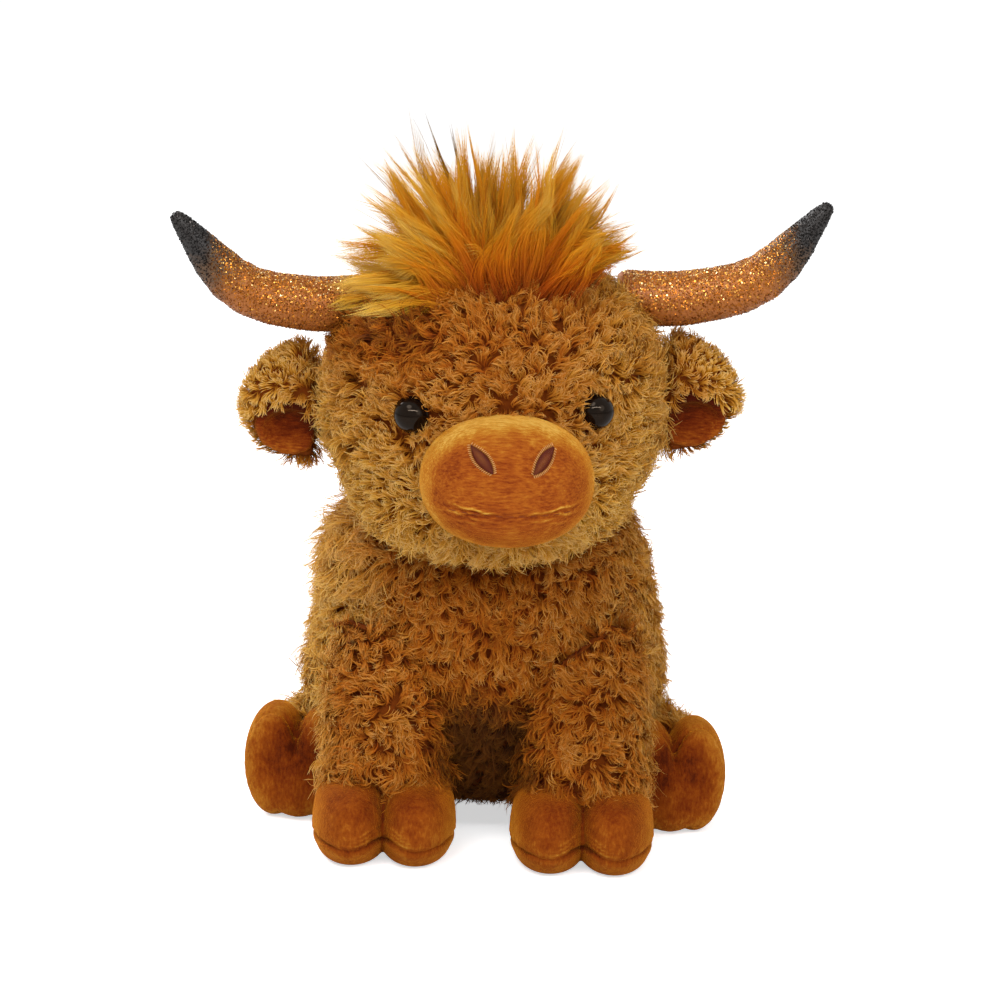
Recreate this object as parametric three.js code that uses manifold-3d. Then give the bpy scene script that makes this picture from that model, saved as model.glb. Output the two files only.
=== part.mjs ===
// A seated plush Highland cow, in millimetres. +Z is up, the cow faces -Y and sits on z = 0.
// Its own left is +X. Solids follow the average outer surface of the pile.
import * as THREE from 'three';
import { mergeVertices } from 'three/addons/utils/BufferGeometryUtils.js';
import Module from 'manifold-3d';

const wasm = await Module();
wasm.setup();

// Fits shared by every piece
const clearance = 0.3;
const coverThickness = 4;
const floorCut = 0.5;
const overrun = 60;

// Body, a pear that sits on its rump: its axis rises from the seat, swells back and leans to the neck
const bodyWidth = 129;
const bodyDepth = 110;
const bodyTop = 123;
const bellyZ = 50;
const seatY = 5;
const rumpY = 13;
const neckY = -8;
const neckHoleDiameter = 56;
const bodyShares = [[0, 0], [0.6, 0.01], [0.84, 0.11], [0.96, 0.27], [1, 0.4], [0.95, 0.58],
  [0.865, 0.77], [0.76, 0.9], [0.49, 0.98], [0, 1]];

// Pellet pouch sewn over the seat
const pouchWidth = 84;
const pouchDepth = 72;
const pouchHeight = 22;
const pouchShares = [[0, 0], [0.86, 0.06], [1, 0.4], [0.8, 0.8], [0, 1]];

// Head, measured from the point on the neck about which it is turned and tilted
const headTurn = THREE.MathUtils.degToRad(5.5);
const headTilt = THREE.MathUtils.degToRad(1.5);
const neckHeight = 112;
const neckX = -0.5;
const headWidth = 119;
const headDepth = 104;
const headBottomZ = -15;
const headTopZ = 90;
const headY = -14;
const headShares = [[0, 0], [0.44, 0.015], [0.69, 0.09], [0.835, 0.2], [0.94, 0.37], [1, 0.57],
  [0.965, 0.75], [0.79, 0.9], [0.42, 0.985], [0, 1]];

// Muzzle, a stuffed oval on the front of the head
const muzzleWidth = 57;
const muzzleHeight = 43;
const muzzleDepth = 44;
const muzzleReach = 86;
const muzzleZ = 24;
const muzzleShares = [[0, 0], [0.62, 0.05], [0.9, 0.22], [1, 0.5], [0.9, 0.78], [0.62, 0.95], [0, 1]];

// Embroidery on the muzzle
const threadHeight = 1;
const nostrilLength = 11.5;
const nostrilWidth = 4.4;
const nostrilSpacing = 20;
const nostrilRise = 10.5;
const nostrilSlant = THREE.MathUtils.degToRad(56);
const mouthWidth = 43;
const mouthDrop = 6;
const mouthSag = 1.5;
const mouthThread = 1.8;

// Eyes, domes on shanks that clip into washers behind the cover
const eyeDiameter = 12;
const eyeDome = 5;
const eyeInset = 27.5;
const eyeSpacing = headWidth - 2 * eyeInset;
const eyeZ = 44.5;
const shankDiameter = 3.2;
const shankLength = 10;
const washerDiameter = 11;
const washerThickness = 1.6;

// Ears, cups that open forwards and down
const earLength = 29.5;
const earHeight = 40;
const earThickness = 15;
const earInset = 5.5;
const earRootX = headWidth / 2 - earInset;
const earRootY = -2;
const earRootZ = 41;
const earDroop = 4;
const earSweep = 5;
const earScoopLength = 27;
const earScoopHeight = 22;
const earScoopDepth = 9;
const earScoopDrop = 8;
const liningThickness = 2.4;
const earFlop = THREE.MathUtils.degToRad(20);
const earShares = [[0, 0], [0.84, 0.02], [1, 0.28], [0.93, 0.55], [0.68, 0.83], [0, 1]];

// Horns, sewn tubes that leave the crown sideways and curl up
const hornDiameter = 18.6;
const hornSpan = 218;
const hornInset = 19.5;
const hornRootX = headWidth / 2 - hornInset;
const hornRootZ = 74;
const hornRise = 34;
const hornY = -7;
// Both are sewn on this far towards +X from the middle
const hornShift = 2.6;
const hornForward = 22;
// Where a horn bends: shares of its way out, forwards and up
const hornBendShares = [[0.36, 0.25, 0.02], [0.7, 0.6, 0.26]];
const hornShares = [[0, 0], [0.9, 0.01], [1, 0.12], [0.95, 0.42], [0.78, 0.7], [0.44, 0.9], [0.22, 0.985],
  [0, 1]];

// Hair, a fan of pointed locks that grow from a pad on the crown. It reaches further round over the
// right horn than over the left one, and its side locks sweep back
const padWidth = 74;
const padDepth = 62;
const padHeight = 26;
const padY = -20;
const lockLength = 56;
const lockWidth = 19;
const lockThickness = 12;
const hairZ = 78;
const hairFrontY = -38;
const hairRowGap = 13;
const hairFall = 13;
const hairRightSpread = THREE.MathUtils.degToRad(97);
const hairLeftSpread = THREE.MathUtils.degToRad(76);
const hairSweep = 8;
const hairBend = 9;
const padShares = [[0, 0], [0.9, 0.05], [1, 0.4], [0.7, 0.84], [0, 1]];
const lockShares = [[0, 0], [0.8, 0.05], [1, 0.3], [0.72, 0.62], [0.3, 0.88], [0, 1]];
const frontLockShares = [1, 0.85, 0.78, 0.72, 0.74, 0.74, 0.74];
const middleLockShares = [1, 0.93, 0.98, 1, 0.92, 0.96, 0.88, 0.78];
const backLockShares = [0.95, 0.92, 0.98, 0.95, 0.98, 0.88, 0.76];

// Front legs, hung from the chest, each with a two-toed hoof and a sole
const frontLegWidth = 50;
const frontLegDepth = 43;
const frontLegX = 31;
const frontFootX = 33.5;
const shoulderY = -18;
const shoulderZ = 84;
const frontFootY = -47;
const frontLegEnd = 13;
const frontLegReach = 2;
const frontSwing = THREE.MathUtils.degToRad(25);
const frontLegShares = [[0, 0], [0.7, 0.03], [0.96, 0.16], [1, 0.5], [0.98, 0.8], [0.72, 0.97], [0, 1]];

// Hooves and soles, with sizes across, along and up the foot
const frontHoofWidth = 49;
const frontHoofLength = 51;
const frontHoofHeight = 27;
const hindHoofWidth = 39;
const hindHoofLength = 41;
const hindHoofHeight = 25;
const soleThickness = 2.4;
const toeOverlapShare = 0.12;
const toeShares = [[0, 0], [0.66, 0.01], [0.9, 0.14], [1, 0.42], [0.93, 0.7], [0.62, 0.94], [0, 1]];

// Hind legs, lying beside the seat with the soles forward
const hindLegDiameter = 39;
const hipX = 45;
const hipY = 44;
const hipZ = 22;
const hindFootX = 66;
const hindFootY = -18;
const hindLegReach = 3;
const hindTurnOut = THREE.MathUtils.degToRad(8);
const hindSplay = THREE.MathUtils.degToRad(20);
const hindLegShares = [[0, 0], [0.74, 0.05], [1, 0.3], [0.97, 0.68], [0.74, 0.96], [0, 1]];

// Tail, a furry cord of cloth with a tuft
const tailDiameter = 12;
const tailRootZ = 50;
const tailOut = 12;
const tailLength = 32;
const tuftDiameter = 20;
const tuftLength = 24;
const tailLift = THREE.MathUtils.degToRad(60);
const tailBendShares = [0.8, 0.2];
const tailDropShare = 0.7;
const tailShares = [[0, 0], [0.9, 0.03], [1, 0.3], [0.86, 0.97], [0, 1]];
const tuftShares = [[0, 0], [0.62, 0.03], [1, 0.36], [0.66, 0.8], [0, 1]];

// Facets around and along the forms
const bodyFacets = 26;
const bodyRows = 13;
const fillingFacets = 20;
const fillingRows = 10;
const limbFacets = 16;
const limbRows = 9;
const smallFacets = 12;
const smallRows = 8;
const lockFacets = 6;
const lockRows = 5;
const swingSteps = 5;

const across = new THREE.Vector3(1, 0, 0);
const forward = new THREE.Vector3(0, 1, 0);
const upward = new THREE.Vector3(0, 0, 1);

// A geometry is welded to shared corners before it is bent or joined
function weld(geometry) {
  geometry.deleteAttribute('normal');
  geometry.deleteAttribute('uv');
  return mergeVertices(geometry);
}

function toSolid(geometry) {
  const corners = geometry.index.array;
  const triangles = [];
  for (let i = 0; i < corners.length; i += 3) {
    const [a, b, c] = [corners[i], corners[i + 1], corners[i + 2]];
    if (a !== b && b !== c && c !== a) triangles.push(a, b, c);
  }
  const vertProperties = new Float32Array(geometry.attributes.position.array);
  const triVerts = new Uint32Array(triangles);
  return new wasm.Manifold(new wasm.Mesh({ numProp: 3, vertProperties, triVerts }));
}

function toGeometry(solid) {
  const { vertProperties, triVerts } = solid.getMesh();
  const geometry = new THREE.BufferGeometry();
  geometry.setAttribute('position', new THREE.BufferAttribute(vertProperties, 3));
  geometry.setIndex(new THREE.BufferAttribute(triVerts, 1));
  geometry.computeVertexNormals();
  return geometry;
}

// A turned profile of [radius share, length share] pairs, given a width and a depth and laid
// along a curve. Its sections lie square to the curve, or to a fixed direction where one is given.
function form({ curve, shares, width, depth, side = across, square, facets, rows, grow = 0 }) {
  const profile = new THREE.SplineCurve(shares.map(([radius, along]) => new THREE.Vector2(radius, along)));
  const points = profile.getSpacedPoints(rows);
  points.forEach((point) => point.setX(Math.max(point.x, 0)));
  points[0].setX(0);
  points[rows].setX(0);
  const geometry = weld(new THREE.LatheGeometry(points, facets));
  const position = geometry.attributes.position;
  const length = curve.getLength();
  for (let i = 0; i < position.count; i += 1) {
    const along = position.getY(i) * (length + 2 * grow) - grow;
    const share = THREE.MathUtils.clamp(along / length, 0, 1);
    const tangent = curve.getTangentAt(share);
    const axis = square ?? tangent;
    const depthwise = new THREE.Vector3().crossVectors(side, axis).normalize();
    const sideways = new THREE.Vector3().crossVectors(axis, depthwise).normalize();
    const point = curve.getPointAt(share).addScaledVector(tangent, along - share * length);
    point.addScaledVector(sideways, position.getX(i) * (width / 2 + grow));
    point.addScaledVector(depthwise, position.getZ(i) * (depth / 2 + grow));
    position.setXYZ(i, point.x, point.y, point.z);
  }
  return toSolid(geometry);
}

function straight(...ends) {
  return new THREE.LineCurve3(...ends.map((end) => new THREE.Vector3(...end)));
}

function smooth(...points) {
  return new THREE.CatmullRomCurve3(points.map((point) => new THREE.Vector3(...point)));
}

function box(width, depth, height, x, y, z) {
  return toSolid(weld(new THREE.BoxGeometry(width, depth, height).translate(x, y, z)));
}

function cylinder(diameter, length, facets) {
  return toSolid(weld(new THREE.CylinderGeometry(diameter / 2, diameter / 2, length, facets)));
}

function move(solid, matrix) {
  return solid.transform(matrix.toArray());
}

function turnAbout(point, axis, angle) {
  const pivot = new THREE.Vector3(...point);
  return new THREE.Matrix4().makeTranslation(pivot)
    .multiply(new THREE.Matrix4().makeRotationAxis(axis, angle))
    .multiply(new THREE.Matrix4().makeTranslation(pivot.negate()));
}

// What a joint carries is cut by what it is sewn to, at rest and through its whole swing
function seat(solid, carrier, { point, axis, from, to }) {
  let cut = solid;
  for (let i = 0; i <= swingSteps; i += 1) {
    const angle = from + (to - from) * i / swingSteps;
    cut = cut.subtract(move(carrier, turnAbout(point, axis, -angle)));
  }
  return cut.subtract(carrier);
}

// All the space below a height
function below(height) {
  const reach = overrun + bodyWidth + hornSpan;
  return box(reach, reach, overrun, 0, 0, height - overrun / 2);
}

// What would reach below the floor is cut away, which leaves a flat to rest on
function onFloor(solid) {
  return solid.subtract(below(0));
}

// Body, its filling and its pellet pouch. The axis starts as high as lets the rump touch the floor
function bodyAxis(lift) {
  return smooth([0, seatY, lift], [0, rumpY, bellyZ], [0, neckY, bodyTop]);
}

function bodyAround(curve, grow, facets = bodyFacets, rows = bodyRows) {
  return form({ curve, shares: bodyShares, width: bodyWidth, depth: bodyDepth, facets, rows, grow });
}

const seatLift = -floorCut - bodyAround(bodyAxis(0), 0).boundingBox().min[2];

function bodyForm(grow, facets, rows) {
  return bodyAround(bodyAxis(seatLift), grow, facets, rows);
}

function neckHole(diameter) {
  const plug = cylinder(diameter, neckHeight, fillingFacets);
  return move(plug, new THREE.Matrix4().makeTranslation(0, neckY, neckHeight)
    .multiply(new THREE.Matrix4().makeRotationX(Math.PI / 2)));
}

const hollowForm = bodyForm(-coverThickness, fillingFacets, fillingRows);
const stuffingForm = bodyForm(-coverThickness - clearance, fillingFacets, fillingRows);

function pouchForm(grow) {
  const axis = bodyAxis(seatLift);
  const ends = [0, coverThickness + pouchHeight].map((along) => axis.getPointAt(along / axis.getLength()));
  const curve = straight(...ends.map((end) => end.toArray()));
  return form({ curve, shares: pouchShares, width: pouchWidth, depth: pouchDepth, facets: fillingFacets,
    rows: smallRows, grow });
}

const bodySolid = onFloor(bodyForm(0));
const bodyGrown = bodyForm(clearance);
const bodyCover = bodySolid.subtract(hollowForm).subtract(neckHole(neckHoleDiameter));
const neckPlug = neckHole(neckHoleDiameter - 2 * clearance).intersect(bodySolid);
const pelletPouch = pouchForm(0).intersect(stuffingForm);
const bodyFilling = stuffingForm.add(neckPlug).subtract(pouchForm(clearance));

// Head, in a group of its own at the neck
const headGroup = new THREE.Group();
headGroup.position.set(neckX, neckY, neckHeight);
headGroup.rotation.set(0, -headTilt, headTurn);
headGroup.updateMatrixWorld();
const intoHead = headGroup.matrixWorld.clone().invert();

function headForm(grow, facets = bodyFacets, rows = bodyRows) {
  const curve = straight([0, headY, headBottomZ], [0, headY, headTopZ]);
  return form({ curve, shares: headShares, width: headWidth, depth: headDepth, square: upward, facets, rows,
    grow });
}

function bodyUnderHead(grow) {
  return move(bodyForm(grow), intoHead);
}

// The place on the front of the head, at its widest, that lies a distance to one side
function browMatrix(sideways) {
  const [halfWidth, halfDepth] = [headWidth / 2, headDepth / 2];
  const y = -halfDepth * Math.sqrt(1 - (sideways / halfWidth) ** 2);
  const angle = Math.atan2(sideways / halfWidth ** 2, -y / halfDepth ** 2);
  return new THREE.Matrix4().makeTranslation(sideways, headY + y, eyeZ)
    .multiply(new THREE.Matrix4().makeRotationZ(angle));
}

// Unplaced, an eye faces -Y, and the flat back of its dome is pressed into the pile
const eyeSink = coverThickness / 3;
const eyeShares = [[0, 0], [0.94, 0.01], [1, 0.16], [0.9, 0.5], [0.6, 0.84], [0, 1]];

function eyeForm(grow) {
  const dome = form({ curve: straight([0, eyeSink, 0], [0, eyeSink - eyeDome, 0]), shares: eyeShares,
    width: eyeDiameter, depth: eyeDiameter, facets: fillingFacets, rows: smallRows, grow });
  const shank = cylinder(shankDiameter + 2 * grow, shankLength + 2 * grow, smallFacets);
  const shankY = eyeSink + shankLength / 2 - clearance;
  return dome.add(move(shank, new THREE.Matrix4().makeTranslation(0, shankY, 0)));
}

function washerForm(grow) {
  const ring = cylinder(washerDiameter + 2 * grow, washerThickness + 2 * grow, smallFacets);
  const ringY = coverThickness + clearance + washerThickness;
  return move(ring, new THREE.Matrix4().makeTranslation(0, ringY, 0));
}

// The filling leaves room for a washer and for what lies in front of it
const washerBack = coverThickness + 2 * clearance + 1.5 * washerThickness;
const washerRoom = move(cylinder(washerDiameter + 2 * clearance, overrun, smallFacets),
  new THREE.Matrix4().makeTranslation(0, washerBack - overrun / 2, 0));

const eyePlaces = [browMatrix(eyeSpacing / 2), browMatrix(-eyeSpacing / 2)];
const shankHole = cylinder(shankDiameter + 2 * clearance, overrun, smallFacets);
const eyes = eyePlaces.map((place) => move(eyeForm(0), place));
const washers = eyePlaces.map((place) => move(washerForm(0).subtract(shankHole), place));

const neckHoleInHead = move(neckHole(neckHoleDiameter), intoHead);
const neckPlugInHead = move(neckHole(neckHoleDiameter - 2 * clearance), intoHead);
const headSolid = headForm(0).subtract(bodyUnderHead(clearance));
const headHollow = headForm(-coverThickness, fillingFacets, fillingRows)
  .subtract(bodyUnderHead(clearance + coverThickness));
const headStuffing = headForm(-coverThickness - clearance, fillingFacets, fillingRows);
const neckStuffing = headStuffing.intersect(neckPlugInHead).subtract(bodyUnderHead(clearance));
let headCover = headSolid.subtract(headHollow).subtract(neckHoleInHead);
let headFilling = headStuffing.subtract(bodyUnderHead(2 * clearance + coverThickness)).add(neckStuffing);
for (const place of eyePlaces) {
  const fitted = move(eyeForm(clearance).add(washerForm(clearance)), place);
  headCover = headCover.subtract(fitted);
  headFilling = headFilling.subtract(fitted.add(move(washerRoom, place)));
}

// Muzzle, with nostrils and mouth stitched through its pile
function muzzleForm(grow) {
  const curve = straight([0, muzzleDepth - muzzleReach, muzzleZ], [0, -muzzleReach, muzzleZ]);
  return form({ curve, shares: muzzleShares, width: muzzleWidth, depth: muzzleHeight, facets: bodyFacets,
    rows: limbRows, grow });
}

const headGrown = headForm(clearance);
const muzzle = muzzleForm(0).subtract(headGrown);
const muzzleSkin = muzzleForm(clearance + threadHeight).subtract(muzzleForm(clearance)).subtract(headGrown);

// A flat outline in the XZ plane, run forwards through the front half of the muzzle
function throughMuzzle(outline, x, z, slant) {
  const options = { depth: muzzleReach, bevelEnabled: false, curveSegments: smallRows / 2 };
  const prism = toSolid(weld(new THREE.ExtrudeGeometry(outline, options)));
  const place = new THREE.Matrix4().makeTranslation(x, muzzleDepth / 2 - muzzleReach, z)
    .multiply(new THREE.Matrix4().makeRotationX(Math.PI / 2))
    .multiply(new THREE.Matrix4().makeRotationZ(slant));
  return muzzleSkin.intersect(move(prism, place));
}

function nostril(side) {
  const leaf = new THREE.Shape();
  leaf.moveTo(-nostrilLength / 2, 0);
  leaf.quadraticCurveTo(0, -nostrilWidth, nostrilLength / 2, 0);
  leaf.quadraticCurveTo(0, nostrilWidth, -nostrilLength / 2, 0);
  return throughMuzzle(leaf, side * nostrilSpacing / 2, muzzleZ + nostrilRise, side * nostrilSlant);
}

function mouth() {
  const band = new THREE.Shape();
  band.moveTo(-mouthWidth / 2, 0);
  band.quadraticCurveTo(0, -2 * mouthSag, mouthWidth / 2, 0);
  band.lineTo(mouthWidth / 2, mouthThread);
  band.quadraticCurveTo(0, mouthThread - 2 * mouthSag, -mouthWidth / 2, mouthThread);
  return throughMuzzle(band, 0, muzzleZ - mouthDrop, 0);
}

// Horn on one side
function hornForm(side, grow) {
  const stations = [[0, 0, 0], ...hornBendShares, [1, 1, 1]];
  const reach = hornSpan / 2 - hornRootX;
  const curve = smooth(...stations.map(([out, front, up]) => [
    hornShift + side * (hornRootX + reach * out), hornY - hornForward * front, hornRootZ + hornRise * up]));
  return form({ curve, shares: hornShares, width: hornDiameter, depth: hornDiameter, side: forward,
    facets: limbFacets, rows: bodyRows, grow });
}

// Ear on the +X side: a leaf with a scooped front, lined with short plush
const earRoot = [earRootX, earRootY, earRootZ];
const earHinge = { point: earRoot, axis: forward, from: -earFlop, to: earFlop };
const earAxis = straight(earRoot, [earRootX + earLength, earRootY - earSweep, earRootZ - earDroop]);
const scoopX = earRootX + earLength / 2;
const scoopZ = earRootZ - earScoopDrop - earDroop / 2;
const scoopY = earRootY - earThickness / 2 - earSweep / 2;

function scoop(grow) {
  const ball = toSolid(weld(new THREE.SphereGeometry(1, smallFacets, smallRows)));
  const place = new THREE.Matrix4().makeTranslation(scoopX, scoopY, scoopZ);
  const radii = [earScoopLength / 2 + grow, earScoopDepth + grow, earScoopHeight / 2 + grow];
  return move(ball, place.multiply(new THREE.Matrix4().makeScale(...radii)));
}

const earLeaf = form({ curve: earAxis, shares: earShares, width: earThickness, depth: earHeight,
  side: forward, facets: smallFacets, rows: smallRows });
const earBlade = seat(earLeaf, headGrown, earHinge);
const earOuter = earBlade.subtract(scoop(0));
const earLining = earBlade.intersect(scoop(-clearance)).subtract(scoop(-clearance - liningThickness));

// Hair: three rows of locks fan out from the crown, the front row falling a little forwards
function lockForm(angle, lengthShare, y, lean) {
  const length = lockLength * lengthShare;
  const sweep = hairSweep * Math.sin(angle) ** 2;
  const tip = [length * Math.sin(angle), y + lean + sweep, hairZ + length * Math.cos(angle)];
  const bend = hairBend * Math.sin(angle) * lengthShare;
  const middleZ = (hairZ + tip[2]) / 2 + Math.abs(bend);
  const middle = [tip[0] / 2 - bend * Math.cos(angle), y + lean / 2, middleZ];
  const side = new THREE.Vector3(Math.cos(angle), 0, -Math.sin(angle));
  return form({ curve: smooth([0, y, hairZ], middle, tip), shares: lockShares, width: lockWidth,
    depth: lockThickness, side, facets: lockFacets, rows: lockRows });
}

function lockRow(shares, y, lean) {
  return shares.map((share, i) => {
    const angle = (hairRightSpread + hairLeftSpread) * i / (shares.length - 1) - hairRightSpread;
    return lockForm(angle, share, y, lean);
  });
}

const locks = [...lockRow(frontLockShares, hairFrontY, -hairFall / 2),
  ...lockRow(middleLockShares, hairFrontY + hairRowGap, 0),
  ...lockRow(backLockShares, hairFrontY + 2 * hairRowGap, hairFall)];
const pad = form({ curve: straight([0, padY, hairZ], [0, padY, hairZ + padHeight]), shares: padShares,
  width: padWidth, depth: padDepth, facets: limbFacets, rows: lockRows });
const hairTuft = locks.reduce((joined, lock) => joined.add(lock), pad)
  .subtract(headGrown).subtract(hornForm(1, clearance)).subtract(hornForm(-1, clearance));

// Hoof with two rounded toes: x across, -y to the toes, z up from the sole
function toes(width, length, height, grow) {
  const toeWidth = width * (1 + toeOverlapShare) / 2;
  const lobes = [1, -1].map((side) => {
    const x = side * (width - toeWidth) / 2;
    const curve = straight([x, 0, -floorCut], [x, 0, height]);
    return form({ curve, shares: toeShares, width: toeWidth, depth: length, facets: limbFacets,
      rows: smallRows, grow });
  });
  return lobes[0].add(lobes[1]);
}

// Front leg on one side, from the seam at the top down to the hoof
function frontLegForm(side, reach, grow) {
  const curve = smooth([side * frontLegX, shoulderY, shoulderZ],
    [side * (frontLegX + frontFootX) / 2, (shoulderY * 2 + frontFootY) / 3 - reach / 2,
      (shoulderZ + frontLegEnd) / 2],
    [side * frontFootX, frontFootY - reach, frontLegEnd]);
  return form({ curve, shares: frontLegShares, width: frontLegWidth, depth: frontLegDepth,
    facets: limbFacets, rows: limbRows, grow });
}

function frontToes(side, reach, grow) {
  const place = new THREE.Matrix4().makeTranslation(side * frontFootX, frontFootY - reach, 0);
  return move(toes(frontHoofWidth, frontHoofLength, frontHoofHeight, grow), place);
}

function frontLimb(side, reach) {
  const hinge = { point: [side * frontLegX, shoulderY, shoulderZ - frontLegDepth / 4],
    axis: across.clone().negate(), from: 0, to: frontSwing };
  const leg = seat(frontLegForm(side, reach, 0).subtract(headUnderChin), bodyGrown, hinge);
  const foot = seat(frontToes(side, reach, 0), bodyGrown, hinge);
  const hoof = foot.subtract(below(soleThickness + clearance))
    .subtract(frontLegForm(side, reach, clearance));
  const sole = onFloor(foot).intersect(below(soleThickness));
  return { hinge, leg, hoof, sole };
}

// Hind leg on one side, lying from the hip to the upright hoof
function hindLegForm(side, reach, grow) {
  const z = hindLegDiameter / 2 - floorCut;
  const curve = smooth([side * hipX, hipY, hipZ],
    [side * (hipX + 2 * hindFootX) / 3, (hipY + hindFootY) / 2, (hipZ + z) / 2],
    [side * hindFootX, hindFootY - reach + hindHoofHeight / 4, z]);
  return form({ curve, shares: hindLegShares, width: hindLegDiameter, depth: hindLegDiameter,
    facets: limbFacets, rows: limbRows, grow });
}

function hindLimb(side, reach) {
  const hinge = { point: [side * hipX, hipY, hipZ], axis: upward.clone().multiplyScalar(side),
    from: 0, to: hindSplay };
  const frontFoot = frontLegForm(side, side * frontLegReach, clearance)
    .add(frontToes(side, side * frontLegReach, clearance));
  const leg = onFloor(seat(hindLegForm(side, reach, 0), bodyGrown, hinge)).subtract(frontFoot);
  const standZ = hindHoofLength / 2 - floorCut;
  const place = new THREE.Matrix4().makeTranslation(side * hindFootX, hindFootY - reach, standZ)
    .multiply(new THREE.Matrix4().makeRotationZ(side * hindTurnOut))
    .multiply(new THREE.Matrix4().makeRotationX(-Math.PI / 2));
  const cloven = move(toes(hindHoofWidth, hindHoofLength, hindHoofHeight, 0), place);
  const foot = onFloor(seat(cloven, bodyGrown, hinge)).subtract(frontFoot);
  const hoof = foot.subtract(move(below(soleThickness + clearance), place))
    .subtract(hindLegForm(side, reach, clearance));
  const sole = foot.intersect(move(below(soleThickness), place)).subtract(move(below(0), place));
  return { hinge, leg, hoof, sole };
}

// Tail, sewn on above the seat, with a tuft at its end
const backY = bodySolid.boundingBox().max[1];
const tailHinge = { point: [0, backY - tailDiameter / 4, tailRootZ], axis: across, from: 0, to: tailLift };
const tailEnd = [0, backY + tailOut, tailRootZ - tailLength * tailDropShare];

function tailForm(grow) {
  const [outShare, downShare] = tailBendShares;
  const bend = [0, backY + tailOut * outShare, tailRootZ - tailLength * downShare];
  const curve = smooth(tailHinge.point, bend, tailEnd);
  return form({ curve, shares: tailShares, width: tailDiameter, depth: tailDiameter, facets: smallFacets,
    rows: smallRows, grow });
}

const [, tuftY, tuftZ] = tailEnd;
const tuftCurve = straight([0, tuftY, tuftZ + tailDiameter / 4], [0, tuftY, tuftZ - tuftLength]);
const tuftForm = form({ curve: tuftCurve, shares: tuftShares, width: tuftDiameter,
  depth: tuftDiameter, facets: smallFacets, rows: smallRows });
const tail = seat(tailForm(0), bodyGrown, tailHinge);
const tailTuft = seat(tuftForm, bodyGrown, tailHinge).subtract(tailForm(clearance));

// The chin and muzzle are kept clear of by the legs below them
const headUnderChin = move(headGrown.add(muzzleForm(clearance)), headGroup.matrixWorld);

// Materials, one for each mesh
function plush(color) {
  return new THREE.MeshStandardMaterial({ color, roughness: 0.95, metalness: 0 });
}

const furColor = 0xb08040;
const shortPlushColor = 0xa05218;
const hairColor = 0xc08428;
const fillingColor = 0xf2efe8;
const pouchColor = 0xd8d4cc;
const nylonColor = 0xe6e2da;
const eyeColor = 0x120a06;
const hornColor = 0xa9702c;
const nostrilColor = 0x5a1f14;
const mouthColor = 0x8a3f12;

// Scene graph
const cow = new THREE.Group();
cow.name = 'plush_cow';
cow.add(headGroup);

// A solid is given in the coordinates of the parent group, and hung from the point of its own
function addPiece(group, name, solid, material) {
  const geometry = toGeometry(solid).translate(...group.position.clone().negate());
  const mesh = new THREE.Mesh(geometry, material);
  mesh.name = name;
  group.add(mesh);
}

function groupAt(parent, point) {
  const group = new THREE.Group();
  group.position.set(...point);
  parent.add(group);
  return group;
}

// The origin is put at the middle of the flat under the rump. A corner is on that flat when its
// height is under this share of the clearance
const flatShare = 0.04;

function flatMiddle(solid) {
  const corners = toGeometry(solid).attributes.position;
  const ys = [];
  for (let i = 0; i < corners.count; i += 1) {
    if (Math.abs(corners.getZ(i)) < clearance * flatShare) ys.push(corners.getY(i));
  }
  return (Math.min(...ys) + Math.max(...ys)) / 2;
}

cow.position.y = -flatMiddle(bodySolid);

const torso = groupAt(cow, [0, 0, 0]);
addPiece(torso, 'body_cover', bodyCover, plush(furColor));
addPiece(torso, 'body_filling', bodyFilling, plush(fillingColor));
addPiece(torso, 'pellet_pouch', pelletPouch, plush(pouchColor));

const face = groupAt(headGroup, [0, 0, 0]);
addPiece(face, 'head_cover', headCover, plush(furColor));
addPiece(face, 'head_filling', headFilling, plush(fillingColor));
addPiece(face, 'muzzle', muzzle, plush(shortPlushColor));
addPiece(face, 'mouth_stitch', mouth(), plush(mouthColor));
addPiece(face, 'hair_tuft', hairTuft, plush(hairColor));

const sides = [['left', 1], ['right', -1]];
sides.forEach(([name, side], i) => {
  const onSide = (solid) => (side > 0 ? solid : solid.mirror([1, 0, 0]));
  const gloss = new THREE.MeshStandardMaterial({ color: eyeColor, roughness: 0.12, metalness: 0 });
  const nylon = new THREE.MeshStandardMaterial({ color: nylonColor, roughness: 0.5, metalness: 0 });
  const glitter = new THREE.MeshStandardMaterial({ color: hornColor, roughness: 0.5, metalness: 0.3 });
  addPiece(face, `eye_${name}`, eyes[i], gloss);
  addPiece(face, `eye_washer_${name}`, washers[i], nylon);
  addPiece(face, `nostril_${name}`, nostril(side), plush(nostrilColor));
  addPiece(face, `horn_${name}`, hornForm(side, 0).subtract(headGrown), glitter);

  const ear = groupAt(headGroup, [side * earRootX, earRootY, earRootZ]);
  addPiece(ear, `ear_outer_${name}`, onSide(earOuter), plush(furColor));
  addPiece(ear, `ear_lining_${name}`, onSide(earLining), plush(shortPlushColor));

  const front = frontLimb(side, side * frontLegReach);
  const frontGroup = groupAt(cow, front.hinge.point);
  addPiece(frontGroup, `front_leg_${name}`, front.leg, plush(furColor));
  addPiece(frontGroup, `front_hoof_${name}`, front.hoof, plush(shortPlushColor));
  addPiece(frontGroup, `front_sole_${name}`, front.sole, plush(shortPlushColor));

  const hind = hindLimb(side, side * hindLegReach);
  const hindGroup = groupAt(cow, hind.hinge.point);
  addPiece(hindGroup, `hind_leg_${name}`, hind.leg, plush(furColor));
  addPiece(hindGroup, `hind_hoof_${name}`, hind.hoof, plush(shortPlushColor));
  addPiece(hindGroup, `hind_sole_${name}`, hind.sole, plush(shortPlushColor));
});

const tailGroup = groupAt(cow, tailHinge.point);
addPiece(tailGroup, 'tail', tail, plush(furColor));
addPiece(tailGroup, 'tail_tuft', tailTuft, plush(hairColor));

export default cow;
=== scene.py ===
import math

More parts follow.
